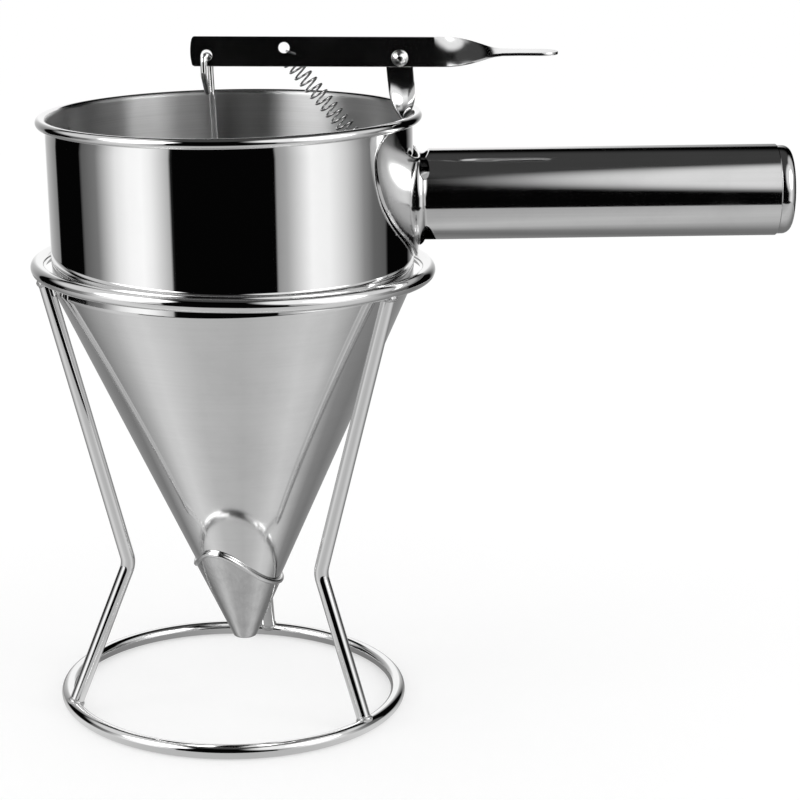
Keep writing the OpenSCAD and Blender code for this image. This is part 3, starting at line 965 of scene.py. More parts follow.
@dataclass
class Hopper:
    """The drawn hopper: its wall with the rolled rim, its cone and the nozzle's sleeve."""

    crease_r: float = 2.0
    sleeve: float = 0.8
    sleeve_high: float = 34.0
    sleeve_low: float = 20.0
    outlet_len: float = 3.5
    bead_r: float = 0.95
    edge_lift: float = 2.6
    edge_drop: float = 15.0

    def _crease(self) -> tuple[tuple[float, float], float]:
        """Centre of the crease's rounding, and its turn in degrees."""
        turn_ = degrees(atan(FUNNEL.cone_slope))
        start = FUNNEL.cone_len + self.crease_r * tan(radians(turn_ / 2))
        return (FUNNEL.hopper_r - self.crease_r, start), turn_

    def wall(self) -> None:
        """Rolls the wall's sheet, with its rim curled outwards."""
        f = FUNNEL
        centre, turn_ = self._crease()
        start = centre[1]
        rim = (f.wall_r(f.rim_z) + f.rim_r - f.sheet / 2, f.rim_z)
        inner_low = arc(centre, self.crease_r - f.sheet, -turn_, 0, 8)
        left = f.wall_in(f.rim_z)
        neck = f.rim_z - 1.2
        inner_wall = stretch(inner_low[-1], (f.wall_in(neck), neck), 14)
        over = [
            (rim[0] - (rim[0] - left) * cos(radians(a)), f.rim_z + f.rim_r * sin(radians(a)))
            for a in range(6, 91, 6)
        ]
        outer = arc(rim, f.rim_r, 90, -142, 40)[1:]
        inside = arc(rim, f.rim_r - f.sheet, -142, 176 - 360, 6)
        fall_top = (f.wall_r(184.4), 184.4)
        outer_wall = [fall_top, *stretch(fall_top, (f.wall_r(start + 0.4), start + 0.4), 14)]
        outer_low = arc(centre, self.crease_r, 0, -turn_, 10)
        top = [(left, f.rim_z - 0.3), *over, *outer, *inside]
        profile = [*inner_low, *inner_wall, *top, *outer_wall, *outer_low]
        obj = lathe("Hopper_Wall", profile, 320)
        smooth(obj, 50)
        # The inside faces get the darker brushed finish, whose darkness is painted shade of the hollow.
        dress(obj, MIRROR_WALL, BRUSHED_INSIDE_PAINTED_SHADE)
        dress_part(
            obj, 1,
            lambda p, n: faces_in(p, n) and hypot(p.x, p.y) < rim[0] - 0.3 and p.z < f.rim_z + 1.2,
        )
        place(obj, UPRIGHT)
        hand_over(obj, Body.FUNNEL, Slot.MIRROR, "hopper_wall")

    def cone(self) -> None:
        """Rolls the cone's sheet, from the crease down into the sleeve."""
        f = FUNNEL
        centre, turn_ = self._crease()
        top_out = arc(centre, self.crease_r, -turn_, -turn_, 1)[0]
        top_in = arc(centre, self.crease_r - f.sheet, -turn_, -turn_, 1)[0]
        foot = self.sleeve_low * 0.5
        across = f.sheet / cos(atan(f.cone_slope))
        profile = [
            (f.cone_r(foot) - across, foot), (f.cone_r(foot), foot),
            *stretch((f.cone_r(foot), foot), top_out, 24), top_in,
            *stretch(top_in, (f.cone_r(foot) - across, foot), 24)[:-1],
        ]
        obj = lathe("Hopper_Cone", profile, 256)
        smooth(obj, 30)
        # The inside faces get the dark finish, whose darkness is painted shade deep in the hollow.
        dress(obj, SATIN_CONE, CONE_INSIDE_PAINTED_SHADE)
        dress_part(obj, 1, faces_in)
        place(obj, UPRIGHT)
        hand_over(obj, Body.FUNNEL, Slot.SATIN, "hopper_cone")

    def edge_z(self, x: float) -> float:
        """Height of the sleeve's S-shaped edge at a place across."""
        reach = FUNNEL.cone_r(self.sleeve_high)
        t = min(1.0, max(0.0, (x + 0.46 * reach) / (1.46 * reach)))
        fall = min(1.0, max(0.0, (-0.55 * reach - x) / (0.45 * reach)))
        high, low = self.sleeve_high, self.sleeve_low
        slope = (low - high - self.edge_lift) * t * t * (3 - 2 * t)
        return high + self.edge_lift + slope - self.edge_drop * fall * fall

    def nozzle(self) -> None:
        """Wraps the sleeve round the cone's end, with a bead along its edge."""
        f = FUNNEL
        foot, top = self.sleeve_low * 0.5, self.sleeve_high + 4
        across = self.sleeve / cos(atan(f.cone_slope))
        sheet = f.sheet / cos(atan(f.cone_slope))
        outside = [
            (f.cone_r(0) + across - 0.8, 0), (f.cone_r(0) + across - 0.24, 0.08),
            (f.cone_r(0.24) + across - 0.02, 0.3), (f.cone_r(0.8) + across, 0.8),
        ]
        profile = [
            (f.outlet_r, 0), *outside, *stretch(outside[-1], (f.cone_r(top) + across, top), 20),
            (f.cone_r(top) + 0.02, top), (f.cone_r(foot) + 0.02, foot), (f.cone_r(foot) - sheet, foot),
            (f.outlet_r, self.outlet_len),
        ]
        obj = lathe("Nozzle_Sleeve", profile, 128)
        reach = f.cone_r(top) + 2 * self.sleeve
        steps = [-reach + i * reach / 24 for i in range(49)]
        outline = [(reach, -reach, -1), (-reach, -reach, -1), *[(x, -reach, self.edge_z(x)) for x in steps]]
        cut(obj, slab("sleeve_cutter", outline, (0, 2 * reach, 0)), Cut.KEEP)
        path = []
        for i in range(160):
            way = 2 * pi * i / 160
            z = self.sleeve_high
            for _ in range(30):
                z += 0.35 * (self.edge_z((f.cone_r(z) + 0.5) * cos(way)) - z)
            r = f.cone_r(z) + 0.55
            path.append((r * cos(way), r * sin(way), z - 0.2))
        bead = wire("sleeve_bead", path, self.bead_r, 16, loop=True)
        smooth(obj, 40)
        smooth(bead, 180)
        dress(obj, SATIN_NOZZLE)
        dress(bead, MIRROR_STRIP)
        obj = join([obj, bead])
        place(obj, UPRIGHT)
        hand_over(obj, Body.FUNNEL, Slot.SATIN, "nozzle_tip")

    def build(self) -> None:
        """Builds the hopper."""
        self.wall()
        self.cone()
        self.nozzle()


# ---------------------------------------------------------------- handle


@dataclass
class Handle:
    """The tube handle with its shield-shaped bracket and its end cap."""

    tube_r: float = 15.5
    tube_t: float = 0.8
    length: float = 128.4
    bracket_t: float = 1.0
    stand_off: float = 1.6
    half_w: float = 38.0
    crown: float = 260.0
    crown_up: float = 4.5
    cap_dome: float = 5.0
    cap_skirt: float = 6.0
    cap_edge: float = 3.0

    @property
    def face(self) -> float:
        """Distance of the bracket's middle from the funnel's axis."""
        return FUNNEL.wall_r(FUNNEL.handle_z) + self.stand_off + self.bracket_t

    @property
    def centre(self) -> float:
        """Distance of the axis of the bracket's curve from the funnel's axis."""
        wing = sqrt((FUNNEL.wall_r(FUNNEL.handle_z) + self.bracket_t) ** 2 - self.half_w**2)
        return (self.face**2 - wing**2 - self.half_w**2) / (2 * (self.face - wing))

    @property
    def tube_end(self) -> float:
        """Distance of the tube's end from the funnel's axis."""
        return FUNNEL.wall_r(FUNNEL.handle_z) + self.length - self.cap_dome

    def bulge(self, z: float, inset: float = 0.0) -> float:
        """Radius of the bracket's face at a height, about the axis of its curve."""
        rise = z - FUNNEL.handle_z - self.crown_up
        return self.face - self.centre - inset - self.crown + sqrt(self.crown**2 - rise**2)

    def outline(self) -> list[tuple[float, float]]:
        """Half of the shield's outline: widths and heights from the handle's axis."""
        w, r = self.half_w, self.tube_r
        corners = [
            (0, -r - 5.7), (10, -r - 2.6), (w * 0.69, -8.5), (w * 0.89, 0), (w * 0.98, 8.5), (w, 17),
            (w * 0.95, 22), (w * 0.86, 25.2), (w * 0.77, 26), (w * 0.72, 23), (w * 0.64, 19.2),
            (w * 0.47, 15.8), (w * 0.22, r - 1.6), (0, r - 2),
        ]
        last = len(corners) - 1

        def at(i: int) -> tuple[float, float]:
            """A corner, mirrored beyond either end."""
            if 0 <= i <= last:
                return corners[i]
            x, y = corners[-i] if i < 0 else corners[2 * last - i]
            return -x, y

        points = []
        for i in range(last):
            a, b, c, d = (Vector(at(i + k)) for k in (-1, 0, 1, 2))
            for step in range(8):
                t = step / 8
                bend = (2 * a - 5 * b + 4 * c - d) * t * t + (3 * b - a - 3 * c + d) * t**3
                points.append(tuple(0.5 * (2 * b + (c - a) * t + bend)))
        return [*points, corners[last]]

    def bracket(self) -> None:
        """Presses the bracket's sheet and trims it to the shield."""
        z0 = FUNNEL.handle_z
        low, high, edge = z0 - 24, z0 + 29, radians(50)
        heights = [low + (high - low) * i / 40 for i in range(41)]
        section = [(self.bulge(z), z) for z in heights]
        section += [(self.bulge(z, self.bracket_t), z) for z in reversed(heights)]
        obj = line("Handle_Bracket", [(r * cos(edge), -r * sin(edge), z) for r, z in section])
        everything()
        bpy.ops.mesh.edge_face_add()
        bpy.ops.mesh.spin(steps=112, angle=-2 * edge, center=(0, 0, 0), axis=(0, 0, 1))
        close_up(obj)
        leave()
        place(obj, shift(self.centre, 0, 0))
        half = self.outline()
        shield = [(44, y, z0 + z) for y, z in half] + [(44, -y, z0 + z) for y, z in reversed(half[1:-1])]
        cut(obj, slab("shield_cutter", shield, (30, 0, 0)), Cut.KEEP)
        lo, hi = z0 - 30, z0 + 34
        wall = [(0, lo), (FUNNEL.wall_r(lo) + 0.05, lo), (FUNNEL.wall_r(hi) + 0.05, hi), (0, hi)]
        cut(obj, lathe("wall_cutter", wall, 512, closed=False))
        heal(obj, 0.02)
        soften(obj, 0.45, 4, 60)
        smooth(obj, 40, level=True)
        place(obj, UPRIGHT)
        dress(obj, MIRROR_BRACKET)
        hand_over(obj, Body.FUNNEL, Slot.MIRROR, "handle_bracket")

    def _notches(self) -> list[bpy.types.Object]:
        """Cutters for the crest's notch and for the hole and the arch in the root's near side."""
        root, r, clear, z0 = self.face, self.tube_r, self.tube_r + 4, FUNNEL.handle_z
        crest = [
            (-8, clear), (-8, r * 0.83), (0.4, r * 0.83), (1.2, r * 0.85), (2.2, r * 0.93), (3, r),
            (3, clear),
        ]
        oval = [(1.8 * cos(a), 3.4 * sin(a)) for a in (tau * i / 36 for i in range(36))]
        hole = [(0.9 + x, r * 0.68 + z - 0.18 * x) for x, z in oval]
        bend = [
            (0.9, -0.80), (1.2, -0.71), (1.7, -0.63), (2.4, -0.575), (3.1, -0.56), (3.8, -0.585),
            (4.6, -0.66), (5.4, -0.78), (6.1, -0.9), (6.7, -1.0),
        ]
        arch = [(-0.7, -clear), *[(x - 1.5, z * r) for x, z in bend], (5.2, -clear)]
        cutters = [slab("notch_cutter", [(root + x, -clear, z0 + z) for x, z in crest], (0, 2 * clear, 0))]
        for shape in (hole, arch):
            outline = [(root + x, -2 - clear, z0 + z) for x, z in shape]
            cutters.append(slab("notch_cutter", outline, (0, clear, 0)))
        return cutters

    def tube(self) -> None:
        """Draws the tube, with a rounded lip welded to the bracket."""
        r, t = self.tube_r, self.tube_t
        end = self.tube_end
        lip_x, lip_r = self.face - 1.6, 2.0
        start = FUNNEL.hopper_r - 5
        round_lip = (radians(-90 + 6 * i) for i in range(31))
        lip = [(r - t + (lip_r + t) * cos(a), lip_x + (lip_r + t) * sin(a)) for a in round_lip]
        lip = [p for p in lip if p[0] > r + 0.001]
        profile = [
            (r - t, start), (r, start), (r, lip_x - lip_r - 0.2), *lip,
            (r, lip[-1][1] + 0.15), (r, lip[-1][1] + 0.8),
            *[(r, x) for x in (72, 80, 100, 120, 140, 160, 178, end - 1)],
            (r, end - 0.25), (r - 0.2, end), (r - t, end),
            *[(r - t, x) for x in (end - 1, 160, 120, 80)],
        ]
        obj = lathe("Handle_Tube", profile, 256)
        place(obj, shift(0, 0, FUNNEL.handle_z) @ spin(90, "Y"))
        z0 = FUNNEL.handle_z
        heights = [z0 - 30 + 2 * i for i in range(31)]
        core = [(0, heights[0]), *[(self.bulge(z), z) for z in heights], (0, heights[-1])]
        cutter = lathe("bracket_cutter", core, 360, closed=False)
        place(cutter, shift(self.centre, 0, 0))
        cut(obj, cutter)
        for notch in self._notches():
            cut(obj, notch)
        heal(obj, 0.01)
        smooth(obj, 35, level=True)
        place(obj, UPRIGHT)
        dress(obj, POLISHED_HANDLE)
        hand_over(obj, Body.FUNNEL, Slot.MIRROR, "handle_tube")

    def cap(self) -> None:
        """Turns the end cap, a cup pressed into the tube's end."""
        r = self.tube_r - 0.5
        skirt = self.tube_r - self.tube_t - 0.02
        e, d, t = self.cap_edge, self.cap_dome, self.tube_t
        profile = [
            (0, d), (r - e - 3, d), (r - e - 0.4, d - 0.01), *arc((r - e, d - e), e, 88, 0, 20),
            (r, 0.2), (r - 0.15, 0), (skirt, 0), (skirt, -self.cap_skirt), (skirt - t, -self.cap_skirt),
            (skirt - t, d - e), (r - e, d - e), (r - e, d - t), (0, d - t),
        ]
        obj = lathe("Handle_End_Cap", profile, 256, closed=False)
        smooth(obj, 40)
        place(obj, HANDLE_AXIS @ shift(0, 0, self.tube_end))
        dress(obj, POLISHED_HANDLE)
        hand_over(obj, Body.FUNNEL, Slot.MIRROR, "handle_end_cap")

    def build(self) -> None:
        """Builds the handle."""
        self.bracket()
        self.tube()
        self.cap()


# ---------------------------------------------------------------- lever, post and pivot


@dataclass
class Valve:
    """The lever on its twisted post, the pivot screw, the spring and the stopper."""

    lever_w: float = 10.0
    lever_t: float = 1.0
    reach: float = 53.0
    tip: float = 6.0
    twist: tuple[tuple[float, float], ...] = (
        (11, 0), (15.5, 14), (20.1, 33), (25.5, 58), (29.5, 75.5), (31.5, 82), (34.2, 86.5), (40, 88),
    )
    inset: float = 3.0
    slope: float = 0.9
    pivot_rise: float = 19.2
    pivot_stand: float = 3.7
    hook_offset: float = 6.9
    hole_pitch: float = 25.9
    hook_v: float = 0.7
    spring_v: float = 3.3
    hole_r: float = 1.85
    screw_r: float = 1.5
    head_r: float = 2.8
    head_h: float = 1.8
    washer_t: float = 0.5
    play: float = 0.05
    nut_h: float = 2.4
    post_w: float = 9.0
    post_t: float = 1.0
    post_depth: float = 25.0
    lug: float = 6.9
    lug_hole_x: float = 4.4
    lug_hole_r: float = 2.0
    rod_r: float = 1.0
    hook_r: float = 2.25
    hook_turn: float = 27.0
    spring_wire: float = 0.35
    spring_r: float = 3.25
    spring_turns: float = 20.25

    @property
    def pivot(self) -> Vector:
        """The pivot in the funnel's frame."""
        return Vector((FUNNEL.wall_in(FUNNEL.rim_z) - self.pivot_stand, 0, FUNNEL.rim_z + self.pivot_rise))

    @property
    def foot_z(self) -> float:
        """Height of the post's foot."""
        return FUNNEL.rim_z - self.post_depth

    @property
    def wall_face(self) -> float:
        """Distance of the post's face on the wall from the funnel's axis."""
        return sqrt(FUNNEL.wall_in(self.foot_z) ** 2 - (self.post_w / 2) ** 2) - 0.12

    @property
    def back_y(self) -> float:
        """Depth of the lever's back face."""
        return -self.post_t / 2 - self.washer_t - 2 * self.play

    @property
    def front_y(self) -> float:
        """Depth of the lever's front face."""
        return self.back_y - self.lever_t

    @property
    def mid_y(self) -> float:
        """Depth of the lever's middle."""
        return self.back_y - self.lever_t / 2

    @property
    def hook_u(self) -> float:
        """Distance along the lever of the hook's hole."""
        return -(self.pivot.x + self.hook_offset)

    def lever_frame(self) -> Matrix:
        """Where the closed lever's pivot lies on the worktop's frame."""
        return UPRIGHT @ Matrix.Translation(self.pivot * MM) @ spin(self.slope, "Y")

    def on_lever(self, u: float, v: float) -> Vector:
        """A place on the closed lever in the funnel's frame."""
        s, c = sin(radians(self.slope)), cos(radians(self.slope))
        return Vector((self.pivot.x + u * c + v * s, self.mid_y, self.pivot.z - u * s + v * c))

    def turned(self, u: float) -> float:
        """How far the strip has turned at a place along it, in degrees."""
        if u <= self.twist[0][0]:
            return 0.0
        for (a, low), (b, high) in zip(self.twist, self.twist[1:]):
            if u <= b:
                return low + (high - low) * (u - a) / (b - a)
        return self.twist[-1][1]

    def lever(self) -> None:
        """Cuts the strip, twists its end and rounds the thumb tab."""
        low, high, w = -self.inset, self.lever_w - self.inset, self.lever_w
        left, start, columns = self.hook_u - 5.5, self.twist[0][0], 10
        centre = Vector((0, self.mid_y, (low + high) / 2)) * MM
        shares = (0.04, 0.1, 0.2, 0.3, 0.4, 0.5, 0.6, 0.7, 0.8, 0.9, 0.96)
        tip = [(left + 0.7 * (1 - 2 * t) ** 2, low + w * t) for t in shares]
        column = [(start, high - w * i / columns) for i in range(columns + 1)]
        rest = [(left + 1.4, high), *column, (left + 1.4, low)]
        obj = slab("Lever", [(x, self.front_y, z) for x, z in [*tip, *rest]], (0, self.lever_t, 0))
        edit(obj)
        pick(obj, lambda p, n: n.x > 0.9 and p.x > start - 0.1)
        places = [start + 0.72 * i for i in range(41)] + [44.0, 48.0, self.reach + 1]
        for here, there in zip(places, places[1:]):
            push(((there - here) * MM, 0, 0))
            turn(self.turned(here) - self.turned(there), "X", centre)
        close_up(obj)
        leave()
        side = w / 2 + 0.01
        half_turn = (radians(-90 + 6 * i) for i in range(31))
        nose = [(self.reach - self.tip + self.tip * cos(a), side * sin(a)) for a in half_turn]
        shape = [(left - 4, -20), (38, -20), (38, -side), *nose, (38, side), (38, 20), (left - 4, 20)]
        cutter = slab("tip_cutter", [(x, -20, z) for x, z in shape], (0, 40, 0))
        place(cutter, Matrix.Translation(centre) @ spin(-self.turned(self.reach), "X"))
        cut(obj, cutter, Cut.KEEP)
        through = spin(90, "X")
        for u, v, r in (
            (0, 0, self.screw_r + 0.05), (self.hook_u, self.hook_v, self.hole_r),
            (self.hook_u + self.hole_pitch, self.spring_v, self.hole_r),
        ):
            spot = Matrix.Translation(Vector((u, self.mid_y, v)) * MM)
            cut(obj, rod_cutter("hole_cutter", r, 6, spot @ through))
        soften(obj, 0.18, 2, 50)
        smooth(obj, 40, level=True)
        place(obj, self.lever_frame())
        dress(obj, MIRROR_STRIP)
        hand_over(obj, Body.LEVER, Slot.MIRROR, "lever")

    def post(self) -> None:
        """Folds the post's lug, cranks its strip and twists it under the pivot."""
        foot, knee, top, face = self.foot_z, self.foot_z + 9, FUNNEL.rim_z - 2, self.wall_face
        flat = self.pivot.z - self.inset - 1
        rake = (face - self.post_t / 2 - self.pivot.x) / (flat - knee)
        mid = self.pivot.x + (flat - top) * rake
        t, half = self.post_t, self.post_t / 2
        corner = arc((face - t - 1.0, foot + t + 1.0), 1.0, 0, -90, 6)
        outer = arc((face - t - 1.0, foot + t + 1.0), 1.0 + t, -90, 0, 6)
        outline = [
            (face - self.lug, foot), *outer, (face, knee), (mid + half, top), (mid - half, top),
            (face - t, knee), *corner, (face - self.lug, foot + t),
        ]
        obj = slab("Lever_Post", [(x, -self.post_w / 2, z) for x, z in outline], (0, self.post_w, 0), 10)
        edit(obj)
        pick(obj, lambda p, n: n.z > 0.9 and p.z > top - 0.1)
        steps = 40
        rise = (flat - top) / steps
        share = [(1 - i / steps) ** 2.1 for i in range(steps + 1)]
        for i in range(1, steps + 1):
            push((-rake * rise * MM, 0, rise * MM))
            z = top + rise * i
            turn(90 * (share[i] - share[i - 1]), "Z", Vector((self.pivot.x + (flat - z) * rake, 0, z)) * MM)
        push((0, 0, 0.4 * MM))
        push((0, 0, (self.pivot.z + self.post_w / 2 - flat + 0.6) * MM))
        close_up(obj)
        leave()
        w = self.post_w / 2
        at_x, at_z = self.pivot.x, self.pivot.z
        crest = [
            *arc((at_x, at_z), w + 0.003, 0, 180, 32), (at_x - 25, at_z - 0.5), (at_x - 25, foot - 5),
            (at_x + 25, foot - 5), (at_x + 25, at_z - 0.5),
        ]
        cut(obj, slab("crest_cutter", [(x, -10, z) for x, z in crest], (0, 20, 0)), Cut.KEEP)
        near, corner = face - self.lug, 1.5
        for side in (-1, 1):
            quarter = (pi / 16 * i for i in range(9))
            plan = [
                *[(near + corner - corner * cos(x), side * (w - corner + corner * sin(x))) for x in quarter],
                (near + corner, side * (w + 1)), (near - 1, side * (w + 1)), (near - 1, side * (w - corner)),
            ]
            cut(obj, slab("lug_cutter", [(x, y, foot - 0.5) for x, y in plan], (0, 0, t + 0.9)))
        lug_hole = Matrix.Translation(Vector((face - self.lug_hole_x, 0, foot)) * MM)
        cut(obj, rod_cutter("hole_cutter", self.lug_hole_r, 6, lug_hole))
        through = Matrix.Translation(self.pivot * MM) @ spin(90, "X")
        cut(obj, rod_cutter("hole_cutter", self.screw_r, 6, through))
        soften(obj, 0.16, 2, 50)
        smooth(obj, 40, level=True)
        place(obj, UPRIGHT)
        dress(obj, MIRROR_STRIP)
        hand_over(obj, Body.FUNNEL, Slot.MIRROR, "lever_post")

    def screw(self) -> None:
        """Turns the screw with its domed head and cuts the cross recess."""
        r, h = self.head_r, self.head_h
        back = self.post_t / 2 + self.nut_h + 0.8
        front = self.front_y - self.play
        dome_r = (r * r * 0.72 + (h * 0.75) ** 2) / (2 * h * 0.75)
        dome = [
            (dome_r * sin(a), h - dome_r + dome_r * cos(a))
            for a in (asin(r * 0.85 / dome_r) * i / 12 for i in range(1, 13))
        ]
        profile = [
            (0, h), *dome, (r * 0.95, h * 0.2), (r, h * 0.1), (r, 0.05), (r - 0.08, 0),
            (self.screw_r, 0), (self.screw_r, front - back + 0.3), (self.screw_r - 0.3, front - back),
            (0, front - back),
        ]
        obj = lathe("Pivot_Screw", profile, 96, closed=False)
        for way in (20, 110):
            clear_selection()
            bpy.ops.mesh.primitive_cube_add(size=MM)
            bar = named("cross_cutter")
            bpy.ops.object.mode_set(mode="EDIT")
            bpy.ops.transform.resize(value=(r * 1.35, 0.95, 1.9))
            pick(bar, lambda p, n: n.z < -0.9)
            bpy.ops.transform.resize(value=(0.35, 0.7, 1))
            leave()
            place(bar, shift(0, 0, h - 0.05) @ spin(way, "Z"))
            cut(obj, bar)
        smooth(obj, 35, level=True)
        seat = Matrix.Translation(Vector((self.pivot.x, front, self.pivot.z)) * MM)
        place(obj, UPRIGHT @ seat @ spin(90, "X"))
        dress(obj, PLATED_SCREW)
        hand_over(obj, Body.FUNNEL, Slot.HARDWARE, "pivot_screw")

    def rod(self) -> None:
        """Bends the stopper's rod, with the hook that hangs from the lever."""
        foot, straight = 10.0, 28.0
        at = self.on_lever(self.hook_u, self.hook_v) - Vector((0, 0, self.hook_r))
        way = radians(self.hook_turn)
        step = Vector((sin(way), cos(way), 0)) * self.hook_r
        back, front = at + step, at - step
        rise = Vector((0, 0, 1))
        tail = Vector((back.x - 1.1, back.y - 1.55, at.z - 10.5))
        low = [Vector((0, 0, foot)), Vector((0, 0, straight - 2)), Vector((0, 0, straight))]
        high = [back - rise * 4, back - rise * 2, back]
        slant = [Vector(p) for p in stretch(low[-1], high[0], 16)[:-1]]
        hook = [
            at + cos(radians(a)) * step + rise * (self.hook_r * sin(radians(a))) for a in range(8, 180, 8)
        ]
        fall = [front, front - rise * 1.3, front - rise * 2.6, front - rise * 4.4]
        drop = [Vector(p) for p in stretch(fall[-1], tail, 5)]
        obj = wire("Stopper_Rod", [*low, *slant, *high, *hook, *fall, *drop], self.rod_r, 20)
        place(obj, UPRIGHT)
        smooth(obj, 50)
        dress(obj, CHROME_WIRE)
        hand_over(obj, Body.STOPPER, Slot.WIRE, "stopper_rod")

    def spring(self) -> None:
        """Winds the return spring from the lever's hole to the post's lug."""
        coil = self.spring_r - self.spring_wire
        bite = self.hole_r - self.spring_wire - 0.1
        hole = self.on_lever(self.hook_u + self.hole_pitch, self.spring_v)
        behind = self.back_y + coil + 2 * self.spring_wire + 0.35
        end = Vector((self.wall_face - self.lug_hole_x - 0.2, 0, self.foot_z - 0.1))
        fall = Vector((end.x - hole.x, 0, end.z - hole.z)).normalized()
        catch = hole + bite * fall
        start = Vector((catch.x - 0.6 * coil, behind, catch.z)) + 3 * fall
        way = (end - start).normalized()
        length = (end - start).length - coil
        side = way.cross(Vector((0, 1, 0))).normalized()
        back = side.cross(way)
        tail = Vector((1, 0, -0.35)).normalized()
        out = 0.45

        def by(along: float, along_way: Vector, y: float) -> Vector:
            """A place by the hook, at a depth."""
            return Vector((catch.x, y, catch.z)) + along * along_way

        path = [by(along, tail, self.front_y - out - 0.15) for along in (3.2, 2.0, 1.2)]
        path += [by(0.4, tail, self.front_y - out - 0.1), by(0, tail, self.front_y - out + 0.15)]
        path += [by(0, tail, self.back_y + out), by(1.6, fall, self.back_y + out + 0.3)]
        per_turn = 20
        steps = int(self.spring_turns * per_turn)
        for i in range(steps + 1):
            a = 2 * pi * self.spring_turns * i / steps
            path.append(start + way * (length * i / steps) + side * (coil * sin(a)) - back * (coil * cos(a)))
        for i in range(1, 15):
            a = radians(200 * i / 14)
            path.append(start + way * (length + coil * sin(a)) + side * (coil * cos(a)))
        obj = wire("Return_Spring", path, self.spring_wire, 10)
        place(obj, UPRIGHT)
        smooth(obj, 60)
        dress(obj, SPRING_STEEL)
        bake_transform(obj)
        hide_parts("return_spring")
        LOG.info("%s: %d faces, bends from the lever to the post", obj.name, len(obj.data.polygons))

    def kept(self) -> None:
        """Dresses the nodes whose own shape stays."""
        for name, finish, slot in (
            ("pivot_washer", PLATED_SCREW, Slot.HARDWARE),
            ("pivot_nut", PLATED_SCREW, Slot.HARDWARE),
            ("stopper_plug", SATIN_NOZZLE, Slot.SATIN),
        ):
            obj = frame["nodes"][name]
            dress(obj, finish)
            LOG.info("%s: kept, dressed in %s", name, finish.name)

    def build(self) -> None:
        """Builds the valve."""
        self.lever()
        self.post()
        self.screw()
        self.rod()
        self.spring()
        self.kept()


# ---------------------------------------------------------------- studio


@dataclass(frozen=True)
class Glow:
    """A soft round light on the dome, by its direction from the middle."""

    azimuth: float
    elevation: float
    inner: float
    outer: float
    strength: float

    def way(self) -> Vector:
        """The direction of the light's middle."""
        a, e = radians(self.azimuth), radians(self.elevation)
        return Vector((sin(a) * cos(e), -cos(a) * cos(e), sin(e)))


